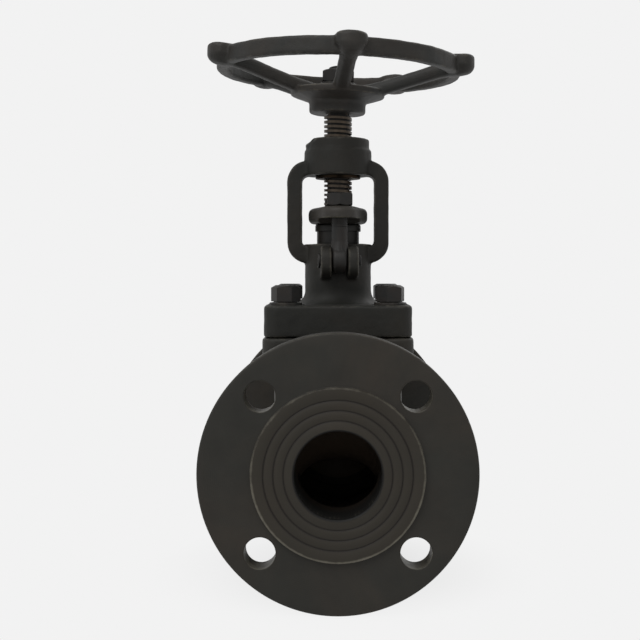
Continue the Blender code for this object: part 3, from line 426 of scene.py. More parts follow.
# Facets round the larger turned forms, and round the flanges.
fine, finest = 128, 160
# The lathe's real feed is about 0.3 mm a turn; it is drawn coarser so that it shows.
feed = 1.1
cast_steel = blackened("black oxide on cast steel", "#262521", "#2F2A24", "#6A665B", 0.60, 0.24,
                       rubbing=1.1, faced=True)

profile = [(0, face, 0), (mouth, face, 0)]
for radius in groove_radii:
    profile += [(radius - groove_width / 2, face, 0), (radius, face - groove_depth, 0),
                (radius + groove_width / 2, face, 0)]
profile += [(raised_radius, face, 0.6), (raised_radius, flange_face, 0.5),
            (flange_radius, flange_face, 1.3), (flange_radius, flange_back, 1.5),
            (0, flange_back, 0)]
flange_outline = ringed(rounded(profile, 3), 4.0)

neck_radius, neck_fillet, belly_radius, belly_drop = 33.0, 9.0, 42.0, 46.0
bonnet_flange, bonnet_flange_corner, bonnet_flange_bottom, body_top = 95.0, 9.0, 54.0, 73.0
tucked = flange_back + 0.35
neck = [(0, -tucked, 0), (neck_radius + neck_fillet * 1.2, -tucked, 0),
        (neck_radius, -tucked, neck_fillet), (neck_radius + 8, -belly_radius, 30),
        (neck_radius + 8, belly_radius, 30), (neck_radius, tucked, neck_fillet),
        (neck_radius + neck_fillet * 1.2, tucked, 0), (0, tucked, 0)]
belly = [(belly_radius * math.sin(a), -belly_radius / 4 - (belly_drop - belly_radius / 4)
          * math.cos(a)) for a in (math.pi / 2 * k / 12 for k in range(13))]
casting = cast(joined([
    solid("necks", turned(rounded(neck), fine), ALONG_FLOW),
    solid("belly", turned(belly + [(belly_radius, body_top - 4), (0, body_top - 4)], fine)),
    solid("square", prism(square(bonnet_flange, bonnet_flange, bonnet_flange_corner),
                          bonnet_flange_bottom, body_top, 1.2))]),
               grain=1.1, rounding=8, ripple=0.5)
worked("UNION", casting, [solid("rear", turned(flange_outline, finest), ALONG_FLOW),
                          solid("front", turned(flange_outline, finest), ALONG_FLOW, HALF_TURN)])


def passage(side, shift, stop=10.0):
    """The port: round at the flange, then flatter and higher or lower as it nears the seat."""
    wide, tall, straight, throat, around = 24.0, 15.0, 85.0, 35.0, 64
    stations = [(face + 5, 0.0), (straight, 0.0)]
    stations += [(straight + (throat - straight) * k / 12, k / 12) for k in range(1, 13)]
    loops = []
    for y, share in stations + [(stop, 1.0)]:
        ease = share * share * (3 - 2 * share)
        across = port_radius + (wide - port_radius) * ease
        up = port_radius + (tall - port_radius) * ease
        loops.append([(across * math.cos(a), side * y, shift * ease + up * math.sin(a))
                      for a in (2 * math.pi * k / around for k in range(around))])
    return loft(loops)


chamber, chamber_floor, bonnet_bore, bonnet_bore_start = 33.0, 8.0, 31.0, 57.0
recess_radius, recess_floor = 38.3, 71.4
bowl, bowl_bottom, bowl_corner, bowl_top = 27.0, -38.0, 21.6, -6.3
throat_radius, throat_start, seat_radius, seat_ledge = 21.0, -2.3, 25.0, 1.7
inlet_shift, outlet_shift = -18.0, 24.0
over = body_top + 20
inside = [(0, chamber_floor), (chamber, chamber_floor), (chamber, bonnet_bore_start - 2),
          (bonnet_bore, bonnet_bore_start), (bonnet_bore, recess_floor),
          (recess_radius, recess_floor), (recess_radius, over), (0, over)]
under = [(0, bowl_bottom, 0), (bowl, bowl_bottom, bowl_corner), (bowl, bowl_top, 0),
         (throat_radius, throat_start, 0), (throat_radius, seat_ledge, 0),
         (seat_radius, seat_ledge, 0), (seat_radius, 30, 0), (0, 30, 0)]
worked("DIFFERENCE", casting, [solid("chamber", turned(inside)),
                               solid("bowl", turned(rounded(under))),
                               solid("inlet", passage(-1, inlet_shift)),
                               solid("outlet", passage(1, outlet_shift))])
bolt_circle, hole_radius, hole_chamfer = 62.5, 9.0, 0.5
drill = [(0, flange_back - 12), (hole_radius, flange_back - 12),
         (hole_radius, flange_face - hole_chamfer),
         (hole_radius + 4, flange_face + 4 - hole_chamfer), (0, flange_face + 8)]
drills = []
for flip in (Matrix.Identity(4), HALF_TURN):
    for k in range(4):
        angle = math.pi / 4 + math.pi / 2 * k
        aside = Matrix.Translation((bolt_circle * math.cos(angle),
                                    bolt_circle * math.sin(angle), 0))
        drills.append(solid(f"drill_{len(drills)}", turned(drill, 64), aside, ALONG_FLOW, flip))
    drills.append(solid(f"mouth_{len(drills)}", turned([
        (0, face - 4), (port_radius, face - 4), (port_radius, face - 0.8),
        (port_radius + 2, face + 1.2), (0, face + 1.2)], fine), ALONG_FLOW, flip))
bolt_reach, tap_radius, tap_depth = 33.0, 5.3, 16.0
bolt_places = [(-bolt_reach, -bolt_reach), (bolt_reach, -bolt_reach),
               (bolt_reach, bolt_reach), (-bolt_reach, bolt_reach)]
for x, y in bolt_places:
    drills.append(solid(f"tap_{len(drills)}", rod(tap_radius, body_top - tap_depth, over),
                        Matrix.Translation((x, y, 0))))
worked("DIFFERENCE", casting, drills)
dress(casting, "body_casting", cast_steel)
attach(casting, "root")
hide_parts("body")

# Seat ring: stainless steel, turned and pressed into the bridge of the body, with a narrow
# lapped cone for the disc to close on.
def machined(name, colour, roughness, grime="#4A443B", grime_share=0.35):
    """Bright turned metal: fine rings about the stem, with oil and dust caught in patches."""
    turned_feed, ring_depth, dust_size = 0.5, 0.01, 9.0
    material, tree, shader, spot = new_surface(name)
    dust = add(tree, "ShaderNodeTexNoise", {"Vector": spot, "Scale": 1 / dust_size, "Detail": 4.0,
                                            "Roughness": 0.65})
    share = add(tree, "ShaderNodeMapRange", {"Value": dust, "From Min": 0.4, "From Max": 0.7,
                                             "To Max": grime_share})
    tone = add(tree, "ShaderNodeMix", {0: share, 6: linear(colour), 7: linear(grime)},
               data_type="RGBA")
    dull = add(tree, "ShaderNodeMapRange", {"Value": dust, "To Min": roughness - 0.08,
                                            "To Max": roughness + 0.15})
    radius, _, _, height = about(tree, spot, 2)
    along = add(tree, "ShaderNodeMath", {0: radius, 1: height})
    turns = add(tree, "ShaderNodeMath", {0: along, 1: 2 * math.pi / turned_feed},
                operation="MULTIPLY")
    rings = add(tree, "ShaderNodeMath", {0: turns}, operation="SINE")
    bump = add(tree, "ShaderNodeBump", {"Height": rings, "Distance": ring_depth / 1000,
                                        "Strength": 0.6})
    connect(tree, shader, {"Base Color": tone.outputs[2], "Roughness": dull, "Metallic": 1.0,
                           "Normal": bump})
    return material


stainless = machined("turned stainless steel", "#A7A49D", 0.34)
low, high = box("seat_ring")
seat_inner, seat_cone = 19.0, 1.2
seat_ring = solid("seat", turned([
    (seat_inner, low.z), (high.x, low.z), (high.x, high.z - 1), (high.x - 1, high.z),
    (seat_inner + seat_cone, high.z), (seat_inner, high.z - seat_cone)]))
dress(seat_ring, "seat_insert", stainless)
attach(seat_ring, "root")
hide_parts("seat_ring")

# Gasket: soft graphite pressed between the body and the bonnet, with rolled grooves.
def pressed_graphite(name, colour, roughness):
    """Graphite: dark grey, a little greasy, with the flecks of the pressed flakes."""
    fleck_size, fleck_depth = 0.8, 0.05
    material, tree, shader, spot = new_surface(name)
    fleck = add(tree, "ShaderNodeTexVoronoi", {"Vector": spot, "Scale": 1 / fleck_size})
    tone = add(tree, "ShaderNodeMapRange", {"Value": fleck.outputs["Distance"], "To Min": 0.7,
                                            "To Max": 1.4})
    grey = add(tree, "ShaderNodeCombineColor", {k: tone for k in range(3)})
    shade = add(tree, "ShaderNodeMix", {0: 1.0, 6: linear(colour), 7: grey},
                data_type="RGBA", blend_type="MULTIPLY")
    bump = add(tree, "ShaderNodeBump", {"Height": fleck.outputs["Distance"],
                                        "Distance": fleck_depth / 1000, "Strength": 0.7})
    connect(tree, shader, {"Base Color": shade.outputs[2], "Roughness": roughness,
                           "Normal": bump})
    return material


graphite = pressed_graphite("pressed graphite", "#2C2C2E", 0.55)
low, high = box("bonnet_gasket")
gasket_inner, gasket_ridges, rolled_depth = 31.3, 4, 0.12
gasket_face = []
for k in range(gasket_ridges * 2 + 1):
    radius = high.x + (gasket_inner - high.x) * k / (gasket_ridges * 2)
    gasket_face.append((radius, high.z - rolled_depth * (k % 2)))
gasket = solid("gasket", turned([(gasket_inner, low.z), (high.x, low.z)] + gasket_face))
dress(gasket, "graphite_gasket", graphite)
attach(gasket, "root")
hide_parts("bonnet_gasket")

# Bonnet: one steel casting with a square flange, the neck round the packing, four ears for the
# eyebolts, and the yoke with its hub. The bores, bolt seats and pin holes are machined after.
UPRIGHT = Matrix.Rotation(math.pi / 2, 4, "X")
SIDE_ON = Matrix(((0, 0, 1, 0), (1, 0, 0, 0), (0, 1, 0, 0), (0, 0, 0, 1)))
clamp_turn = math.radians(1.9)
# The bonnet's oxide is drawn darker than the body's: black oxide, and painted shade from the
# wheel, its hub and the eyebolts.
bonnet_oxide_and_shade = blackened("black oxide on the cast bonnet", "#1E1E1B", "#26221D", "#57534A",
                         0.60, 0.22, grain=0.8, relief=0.10)
low, high = box("bonnet")
hub_top, spigot_bottom = high.z, low.z
bonnet_bottom, bonnet_top, bonnet_width, bonnet_corner = 73.5, 93.5, 93.0, 8.5
spigot_radius, neck_outer, neck_flare, neck_top = 30.4, 21.7, 9.0, 130.4
yoke_reach, yoke_half_depth, yoke_leg, yoke_corner = 33.2, 9.0, 9.4, 13.6
yoke_bottom, yoke_top, window_top, window_corner = 119.8, 187.0, 177.4, 4.2
hub_reach, rim_radius, rim_step = 22.1, 20.6, 193.8
pin_reach, pin_height, ear_radius, ear_inner, ear_thickness = 30.4, 121.5, 9.0, 5.2, 6.8
neck_shape = [(0, bonnet_bottom, 0), (spigot_radius, bonnet_bottom, 0),
              (spigot_radius, bonnet_top - 2, 0),
              (neck_outer + neck_flare + 1, bonnet_top - 0.6, 0),
              (neck_outer, bonnet_top - 0.6, neck_flare), (neck_outer, neck_top + 2, 0),
              (0, neck_top + 2, 0)]
hub_shape = [(0, window_top, 0), (hub_reach, window_top, 0.8),
             (hub_reach, rim_step - 0.3, 1.4), (rim_radius, rim_step + 1.2, 1.0),
             (rim_radius, hub_top, 1.2), (0, hub_top, 0)]
frame_shape = [(x * yoke_reach, z, yoke_corner) for x, z in
               ((-1, yoke_bottom), (1, yoke_bottom), (1, yoke_top), (-1, yoke_top))]
window_reach = yoke_reach - yoke_leg
window_shape = [(x * window_reach, z, window_corner) for x, z in
                ((-1, neck_top), (1, neck_top), (1, window_top), (-1, window_top))]
ear_root, ear_tip = -17.5, -pin_reach - ear_radius
ear_shape = [(ear_root, pin_height - ear_radius - 3, 0), (ear_tip, pin_height - ear_radius, 7.5),
             (ear_tip, pin_height + ear_radius, ear_radius),
             (ear_root, pin_height + ear_radius, 0)]
flange_plan = square(bonnet_width, bonnet_width, bonnet_corner)
bonnet_parts = [
    solid("flange", prism(flange_plan, bonnet_bottom, bonnet_top, 1.9)),
    solid("flange_foot", prism(flange_plan, bonnet_bottom, bonnet_top - 6, 0.8)),
    solid("neck", turned(rounded(neck_shape), fine)),
    solid("hub", turned(rounded(hub_shape), fine))]
yoke = solid("yoke", prism(rounded(frame_shape, 10), -yoke_half_depth, yoke_half_depth, 1.6),
             UPRIGHT)
worked("DIFFERENCE", yoke, [solid("window", prism(rounded(window_shape), -30, 30), UPRIGHT)])
bonnet_parts.append(yoke)
for end in (0, math.pi):
    for side in (-1, 1):
        near, far = sorted((side * ear_inner, side * (ear_inner + ear_thickness)))
        bonnet_parts.append(solid("ear", prism(rounded(ear_shape), near, far, 0.8), SIDE_ON,
                                  Matrix.Rotation(clamp_turn + end, 4, "Z")))
bonnet = cast(joined(bonnet_parts), grain=0.8, rounding=5, ripple=0.45, ripple_size=8.0)


def pressed_in(made, centre, reach, depth):
    """Push the skin towards the stem round one point, as a flaw in the mould leaves it."""
    for vertex in made.data.vertices:
        away = Vector([(a - b) / c for a, b, c in zip(vertex.co, centre, reach)]).length
        if away < 1:
            inward = Vector((-vertex.co.x, -vertex.co.y, -4)).normalized()
            vertex.co += inward * depth * (1 - away * away) ** 2


# The rim of the hub is broken down on its left, with a gouge under the break.
pressed_in(bonnet, (-21.5, -1.0, hub_top + 0.8), (8.0, 17.0, 5.2), 4.8)
pressed_in(bonnet, (-17.0, -12.0, 200.6), (4.0, 4.0, 2.6), 1.3)
pressed_in(bonnet, (-21.0, -3.0, 197.4), (6.0, 9.0, 4.0), -0.9)
box_bore, box_floor, stem_bore, nut_bore = 14.2, 89.1, 9.6, 13.3
bush_bore, bush_step, bush_shoulder, bush_top = 14.0, 2.2, 66.5, 80.3
screw_hole, pin_hole, bolt_hole, spot_radius, spot_face = 3.3, 3.8, 5.5, 12.0, bonnet_top - 0.8
worked("UNION", bonnet, [solid("spigot", turned([
    (0, spigot_bottom), (spigot_radius - 0.8, spigot_bottom), (spigot_radius, spigot_bottom + 0.8),
    (spigot_radius, bonnet_bottom + 4), (0, bonnet_bottom + 4)], fine))])
bores = [
    solid("bore", turned([
        (0, spigot_bottom - 5), (bush_bore + bush_step, spigot_bottom - 5),
        (bush_bore + bush_step, bush_shoulder), (bush_bore, bush_shoulder), (bush_bore, bush_top),
        (stem_bore, bush_top), (stem_bore, box_floor), (box_bore, box_floor),
        (box_bore, neck_top - 1), (box_bore + 3, neck_top + 2), (box_bore + 3, neck_top + 9),
        (0, neck_top + 9)])),
    solid("nut_bore", turned([(0, window_top - 14), (nut_bore, window_top - 14),
                              (nut_bore, hub_top - 0.8), (nut_bore + 3, hub_top + 2.2),
                              (0, hub_top + 2.2)])),
    solid("screw_bore", rod(screw_hole, 6, 30), ALONG_FLOW,
          Matrix.Translation((0, 0, (window_top + hub_top) / 2)))]
for x, y in bolt_places:
    bores.append(solid("bolt_bore", turned([
        (0, 60), (bolt_hole, 60), (bolt_hole, spot_face), (spot_radius, spot_face),
        (spot_radius, bonnet_top + 9), (0, bonnet_top + 9)], 64), Matrix.Translation((x, y, 0))))
for end in (0, math.pi):
    bores.append(solid("pin_bore", rod(pin_hole, -19, 19), Matrix.Rotation(math.pi / 2, 4, "Y"),
                       Matrix.Translation((0, -pin_reach, pin_height)),
                       Matrix.Rotation(clamp_turn + end, 4, "Z")))
worked("DIFFERENCE", bonnet, bores)
dress(bonnet, "bonnet_casting", bonnet_oxide_and_shade)
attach(bonnet, "root")
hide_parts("bonnet")

# Back seat bushing: turned stainless steel, pressed up into the bonnet. The stem's cone closes
# on it when the valve is fully open.
low, high = box("backseat_bushing")
bush_inner, bush_outer, back_cone, collar = 9.3, 13.7, 3.0, 2.2
bushing = solid("bushing", turned([
    (bush_inner, low.z + back_cone), (bush_inner + back_cone, low.z), (high.x, low.z),
    (high.x, low.z + collar), (bush_outer, low.z + collar), (bush_outer, high.z - 0.6),
    (bush_outer - 0.6, high.z), (bush_inner, high.z)]))
dress(bushing, "back_seat_bushing", stainless)
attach(bushing, "root")
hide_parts("backseat_bushing")

# Disc and disc nut: stainless steel, turned. The nut screws into the disc over the stem's head,
# so that the stem turns while the disc only rises and falls.
def hexagon(name, flats, low, high, under=False, turn=0.0, crown=0.475):
    """A hexagon with its corners turned off on top, and below as well on a nut."""
    corner, flat = flats / math.sqrt(3), flats * crown
    drop = (corner - flat) * math.tan(math.radians(30))
    angles = [turn + math.pi / 3 * k for k in range(6)]
    made = solid(name, prism([(corner * math.cos(a), corner * math.sin(a)) for a in angles],
                             low - 1, high + 1))
    foot = [(0, low), (flat, low), (corner, low + drop)] if under else [(0, low), (corner, low)]
    cone = turned(foot + [(corner, high - drop), (flat, high), (0, high)])
    worked("INTERSECT", made, [solid("cone", cone)])
    broken = made.modifiers.new("broken edges", "BEVEL")
    broken.width = 0.3
    broken.segments = 2
    broken.limit_method = "ANGLE"
    broken.angle_limit = math.radians(20)
    return settled(made)


low, high = box("disc")
disc_edge, cavity, cavity_floor = 1.5, 14.0, low.z + 5
disc = solid("disc", turned([
    (0, low.z), (high.x - disc_edge, low.z), (high.x, low.z + disc_edge),
    (high.x, high.z - disc_edge), (high.x - disc_edge, high.z), (cavity, high.z),
    (cavity, cavity_floor), (0, cavity_floor)]))
dress(disc, "valve_disc", stainless)
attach(disc, "disc")
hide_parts("disc")

disc_top, disc_nut_flats, stalk_bore = high.z + 0.3, 26.0, 7.3
low, high = box("disc_nut")
disc_nut = hexagon("disc_nut", disc_nut_flats, disc_top, high.z)
worked("UNION", disc_nut, [solid("plug", rod(cavity - 0.3, low.z, disc_top + 1, 96))])
worked("DIFFERENCE", disc_nut, [solid("bore", rod(stalk_bore, low.z - 2, high.z + 2, 64))])
dress(disc_nut, "disc_retaining_nut", stainless)
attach(disc_nut, "disc")
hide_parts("disc_nut")

# Stem: alloy steel, turned, with a trapezoidal thread of 3 mm pitch that stands brown with
# grease. A square and a short screwed end above it carry the handwheel.
def new_tree(name, **kinds):
    """An empty geometry tree, and the sockets of its named inputs."""
    tree = bpy.data.node_groups.new(name, "GeometryNodeTree")
    tree.interface.new_socket("Geometry", in_out="OUTPUT", socket_type="NodeSocketGeometry")
    for label, kind in kinds.items():
        tree.interface.new_socket(label.replace("_", " "), in_out="INPUT",
                                  socket_type="NodeSocket" + kind)
    return tree, tree.nodes.new("NodeGroupInput").outputs


def finish_tree(tree, given, geometry):
    """Realize what the tree made and give it its material."""
    real = add(tree, "GeometryNodeRealizeInstances", {"Geometry": geometry})
    painted = add(tree, "GeometryNodeSetMaterial", {"Geometry": real,
                                                    "Material": given["Material"]})
    add(tree, "NodeGroupOutput", {"Geometry": painted})


def grown(name, tree, base=None, **values):
    """A plain mesh made by a geometry tree from these input values."""
    made = base or solid(name, bmesh.new())
    step = made.modifiers.new(name, "NODES")
    step.node_group = tree
    for socket in tree.interface.items_tree:
        label = socket.name.replace(" ", "_")
        if socket.in_out == "INPUT" and label in values:
            step[socket.identifier] = values[label]
    return settled(made)


thread_tree, given = new_tree("thread ridge", Pitch="Float", Turns="Float", Root_Radius="Float",
                              Crest_Radius="Float", Root_Width="Float", Crest_Width="Float",
                              Start="Float", Material="Material")
# The ridge reaches a little below the root, so that it unites with the core.
bite = 0.4
depth = add(thread_tree, "ShaderNodeMath", {0: given["Crest Radius"], 1: given["Root Radius"]},
            operation="SUBTRACT")
deeper = add(thread_tree, "ShaderNodeMath", {0: depth, 1: bite})
half_way = add(thread_tree, "ShaderNodeMath", {0: deeper, 1: -0.5, 2: given["Crest Radius"]},
               operation="MULTIPLY_ADD")
length = add(thread_tree, "ShaderNodeMath", {0: given["Pitch"], 1: given["Turns"]},
             operation="MULTIPLY")
helix = add(thread_tree, "GeometryNodeCurveSpiral", {
    "Resolution": 72, "Rotations": given["Turns"], "Start Radius": half_way,
    "End Radius": half_way, "Height": length})
level_helix = add(thread_tree, "GeometryNodeSetCurveNormal", {"Curve": helix}, mode="Z_UP")
ridge = add(thread_tree, "GeometryNodeCurvePrimitiveQuadrilateral", {
    "Height": deeper, "Bottom Width": given["Root Width"], "Top Width": given["Crest Width"],
    "Offset": 0}, mode="TRAPEZOID")
outward = add(thread_tree, "GeometryNodeTransform", {"Geometry": ridge,
                                                     "Rotation": Euler((0, 0, -math.pi / 2))})
wound = add(thread_tree, "GeometryNodeCurveToMesh", {
    "Curve": level_helix, "Profile Curve": outward, "Fill Caps": True})
lift = add(thread_tree, "ShaderNodeCombineXYZ", {2: given["Start"]})
raised = add(thread_tree, "GeometryNodeTransform", {"Geometry": wound, "Translation": lift})
finish_tree(thread_tree, given, raised)


def greased(name, crest, root, root_radius, crest_radius):
    """Turned steel under old grease: rubbed brown on the crests, nearly black in the roots."""
    smear_size, smear_depth = 3.0, 0.12
    material, tree, shader, spot = new_surface(name)
    streak = add(tree, "ShaderNodeMapping", {"Vector": spot, "Scale": (0.9, 0.9, 0.22)})
    smear = add(tree, "ShaderNodeTexNoise", {"Vector": streak, "Scale": 1 / smear_size,
                                             "Detail": 4.0, "Roughness": 0.7})
    height = add(tree, "ShaderNodeMapRange", {"Value": about(tree, spot, 2)[0],
                                              "From Min": root_radius, "From Max": crest_radius})
    rubbed = add(tree, "ShaderNodeMath", {0: height, 1: smear}, operation="MULTIPLY")
    share = add(tree, "ShaderNodeMapRange", {"Value": rubbed, "From Min": 0.12,
                                             "From Max": 0.62})
    tone = add(tree, "ShaderNodeMix", {0: share, 6: linear(root), 7: linear(crest)},
               data_type="RGBA")
    sheen = add(tree, "ShaderNodeMapRange", {"Value": share, "To Min": 0.62, "To Max": 0.36})
    bump = add(tree, "ShaderNodeBump", {"Height": smear, "Distance": smear_depth / 1000,
                                        "Strength": 0.8})
    connect(tree, shader, {"Base Color": tone.outputs[2], "Roughness": sheen, "Metallic": 0.4,
                           "Normal": bump})
    return material


stem_radius, stem_root, pitch = 9.2, 7.1, 3.0
thread_low, shoulder, wheel_seat = 156.5, 217.6, 218.2
stem_steel = greased("greased trapezoidal thread", "#463A2C", "#120F0B", stem_root, stem_radius)
low, high = box("stem")
head_radius, head_height, stalk = 11.5, 5.0, 7.0
collar_radius, collar_low, collar_top, cone_top = 12.0, 54.7, 61.7, 64.7
end_radius, end_root, end_crest, end_low = 6.0, 5.1, 5.95, shoulder + 18.2
stem = solid("stem", turned([
    (0, low.z), (head_radius - 0.5, low.z), (head_radius, low.z + 0.5),
    (head_radius, low.z + head_height), (stalk, low.z + head_height), (stalk, collar_low),
    (collar_radius, collar_low), (collar_radius, collar_top), (stem_radius, cone_top),
    (stem_radius, thread_low - 1.5), (stem_root, thread_low), (stem_root, shoulder),
    (end_radius, shoulder), (end_radius, end_low - 0.6), (end_root, end_low + 0.4),
    (end_root, high.z - 0.2), (0, high.z)]))
stem_thread = grown("stem_thread", thread_tree, Pitch=pitch, Turns=22.0, Root_Radius=stem_root,
                    Crest_Radius=stem_radius, Root_Width=1.6, Crest_Width=0.15,
                    Start=thread_low - 2.0, Material=stem_steel)
worked("INTERSECT", stem_thread, [solid("envelope", turned([
    (0, thread_low - 1.0), (stem_root, thread_low - 1.0), (stem_radius, thread_low + 0.8),
    (stem_radius - 0.01, shoulder - 1.2), (stem_root, shoulder - 0.01), (0, shoulder - 0.01)]))])
end_thread = grown("end_thread", thread_tree, Pitch=1.5, Turns=10.0, Root_Radius=end_root,
                   Crest_Radius=end_crest, Root_Width=1.2, Crest_Width=0.35,
                   Start=end_low - 0.2, Material=stem_steel)
worked("INTERSECT", end_thread, [solid("envelope", turned([
    (0, end_low), (end_crest, end_low), (end_crest, high.z - 0.8), (end_root, high.z - 0.02),
    (0, high.z - 0.02)]))])
square_end = solid("square_end", prism(square(12.4, 12.4, 1.0), shoulder - 0.8, wheel_seat + 17))
worked("UNION", stem, [stem_thread, end_thread, square_end])
dress(stem, "threaded_stem", stem_steel, sharp=30)
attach(stem, "stem")
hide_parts("stem")

# Bonnet bolts and washers: forged hexagon bolts and punched washers, all blackened. They were
# tightened by hand, so each head stands at its own angle.
black_steel = blackened("black oxide on forged bolts", "#181817", "#221D19", "#575249", 0.52, 0.26,
                        grain=0.5, relief=0.04, patch=14.0, rubbing=0.55)
points_tree, given = new_tree("fasteners on points", Geometry="Geometry", Fastener="Object",
                              Material="Material")
shape = add(points_tree, "GeometryNodeObjectInfo", {"Object": given["Fastener"]})
turn = add(points_tree, "GeometryNodeInputNamedAttribute", {"Name": "turn"})
about_up = add(points_tree, "ShaderNodeCombineXYZ", {2: turn})
placed = add(points_tree, "GeometryNodeInstanceOnPoints", {
    "Points": given["Geometry"], "Instance": shape.outputs["Geometry"], "Rotation": about_up})
finish_tree(points_tree, given, placed)


def on_points(name, fastener, places, turns):
    """The fastener repeated at each place, turned about its own axis."""
    mesh = bpy.data.meshes.new(name)
    mesh.from_pydata(places, [], [])
    mesh.attributes.new("turn", "FLOAT", "POINT").data.foreach_set("value", turns)
    base = bpy.data.objects.new(name, mesh)
    bpy.context.collection.objects.link(base)
    made = grown(name, points_tree, base, Fastener=fastener, Material=black_steel)
    bpy.data.objects.remove(fastener)
    return made


low, high = box("bonnet_bolt_front_left")
head_flats, head_low, bolt_seat, bolt_radius = 16.2, 0.4, 95.3, 5.0
bolt = hexagon("bolt", head_flats, head_low, high.z + 0.6 - bolt_seat, crown=0.40)
shank_end, face_radius, face_height = low.z - bolt_seat, 7.6, 0.9
worked("UNION", bolt, [solid("shank", turned([
    (0, shank_end), (bolt_radius - 1, shank_end), (bolt_radius, shank_end + 1), (bolt_radius, 0),
    (face_radius, 0), (face_radius, face_height), (0, face_height)], 48))])
head_turns = [math.radians(a) for a in (-4.0, 16.0, 37.0, -22.0)]
bolts = on_points("bolts", bolt, [(x, y, bolt_seat) for x, y in bolt_places], head_turns)
dress(bolts, "bonnet_bolts", black_steel, sharp=25)
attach(bolts, "root")
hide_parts(*[f"bonnet_bolt_{c}" for c in ("front_left", "front_right", "rear_left",
                                                 "rear_right")])


def flat_ring(inner, outer, thickness, edge, facets=72):
    """A flat washer with its edges broken."""
    return turned([(inner, 0), (outer - edge, 0), (outer, edge), (outer, thickness - edge),
                   (outer - edge, thickness), (inner, thickness)], facets)


low, high = box("bonnet_washer_front_left")
washer_hole = 5.3
washer = solid("washer", flat_ring(washer_hole, (high.x - low.x) / 2, high.z - low.z, 0.35))
washers = on_points("washers", washer, [(x, y, low.z) for x, y in bolt_places], head_turns)
dress(washers, "bonnet_washers", black_steel)
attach(washers, "root")
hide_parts(*[f"bonnet_washer_{c}" for c in ("front_left", "front_right", "rear_left",
                                                     "rear_right")])

# Packing: five rings of plaited graphite yarn, pushed one by one into the stuffing box.
low, high = box("packing_ring_1")
ring_step = box("packing_ring_2")[0].z - low.z
packing_tree, given = new_tree("packing stack", Count="Int", Step="Float", Base="Float",
                               Middle_Radius="Float", Width="Float", Height="Float",
                               Strands="Float", Material="Material")
circle = add(packing_tree, "GeometryNodeCurvePrimitiveCircle", {
    "Resolution": 240, "Radius": given["Middle Radius"]})


def soft_section(tree, width, height, corner, steps):
    """A rectangle with rounded corners, to be drawn along a path."""
    sharp = add(tree, "GeometryNodeCurvePrimitiveQuadrilateral", {"Width": width,
                                                                  "Height": height})
    return add(tree, "GeometryNodeFilletCurve", {"Curve": sharp, "Radius": corner,
                                                 "Count": steps}, mode="POLY")


plait = add(packing_tree, "GeometryNodeCurveToMesh", {
    "Curve": circle,
    "Profile Curve": soft_section(packing_tree, given["Width"], given["Height"], 0.9, 1)})
step = add(packing_tree, "ShaderNodeCombineXYZ", {2: given["Step"]})
first = add(packing_tree, "ShaderNodeCombineXYZ", {2: given["Base"]})
line = add(packing_tree, "GeometryNodeMeshLine", {"Count": given["Count"],
                                                  "Start Location": first, "Offset": step})
stack = add(packing_tree, "GeometryNodeInstanceOnPoints", {"Points": line, "Instance": plait})
finish_tree(packing_tree, given, stack)
packing_inner, packing_outer = 9.4, high.x
packing = grown("packing", packing_tree, Count=5, Step=ring_step, Base=(low.z + high.z) / 2,
                Middle_Radius=(packing_inner + packing_outer) / 2,
                Width=packing_outer - packing_inner, Height=high.z - low.z, Material=graphite)
dress(packing, "packing_rings", graphite)
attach(packing, "root")
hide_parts(*[f"packing_ring_{k}" for k in range(1, 6)])

# Gland follower: a turned steel sleeve that presses the packing, with a collar that the gland
# flange bears on.
clamp = Matrix.Rotation(clamp_turn, 4, "Z")
# The sleeve's oxide is drawn darker than the gland's: black oxide, and painted shade under the
# gland flange.
sleeve_oxide_and_shade = blackened("black oxide on a turned sleeve", "#1A1A18", "#231F1B", "#4C473F", 0.50,
                         0.24, grain=0.5, relief=0.03, patch=18.0, rubbing=0.6)
low, high = box("gland_follower")
gland_bore, sleeve_radius, sleeve_ledge = 9.4, 13.85, 140.6
follower = solid("follower", turned(rounded([
    (gland_bore, low.z, 0), (sleeve_radius, low.z, 0.6), (sleeve_radius, sleeve_ledge, 0),
    (high.x, sleeve_ledge, 0.5), (high.x, high.z, 1.0), (gland_bore, high.z, 0)], 3)))
dress(follower, "gland_sleeve", sleeve_oxide_and_shade)
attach(follower, "gland")
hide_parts("gland_follower")

# Gland flange: a drop forged bridge with fat round edges, thinner at its ends, where a drilled
# hole takes each eyebolt.
gland_steel = blackened("black oxide on forged gland", "#272724", "#302B26", "#66624F", 0.54, 0.28,
                        grain=0.7, relief=0.08)
low, high = box("gland_flange")
gland_half, gland_end, gland_waist, hole_half = 41.9, 11.8, 19.4, 5.5
lean = math.asin((gland_waist - gland_end) / (gland_half - gland_end))
plan = []
for centre, radius, first, last in (
        (gland_half - gland_end, gland_end, lean, math.pi - lean),
        (0, gland_waist, math.pi - lean, math.pi + lean),
        (gland_end - gland_half, gland_end, math.pi + lean, 2 * math.pi - lean),
        (0, gland_waist, -lean, lean)):
    for k in range(17):
        angle = first + (last - first) * k / 16
        plan.append((radius * math.cos(angle), centre + radius * math.sin(angle)))
end_rise, end_slope, gland_edge = 2.8, 6.0, 3.6
arch = [(-gland_waist, low.z - 9), (-gland_waist, low.z),
        (-gland_waist - end_slope, low.z + end_rise), (-gland_half - 9, low.z + end_rise),
        (-gland_half - 9, low.z - 9)]
gland = solid("gland", prism(plan, low.z, high.z, gland_edge, 6), clamp)
cuts = [solid("gland_bore", rod(gland_bore, low.z - 9, high.z + 9, 96))]
arches = []
for end in (0, math.pi):
    aside = Matrix.Rotation(clamp_turn + end, 4, "Z")
    arches.append(solid("arch", prism(arch, -25, 25), SIDE_ON, aside))
    cuts.append(solid("eyebolt_hole", rod(hole_half, low.z - 9, high.z + 9),
                      aside @ Matrix.Translation((0, -pin_reach, 0))))
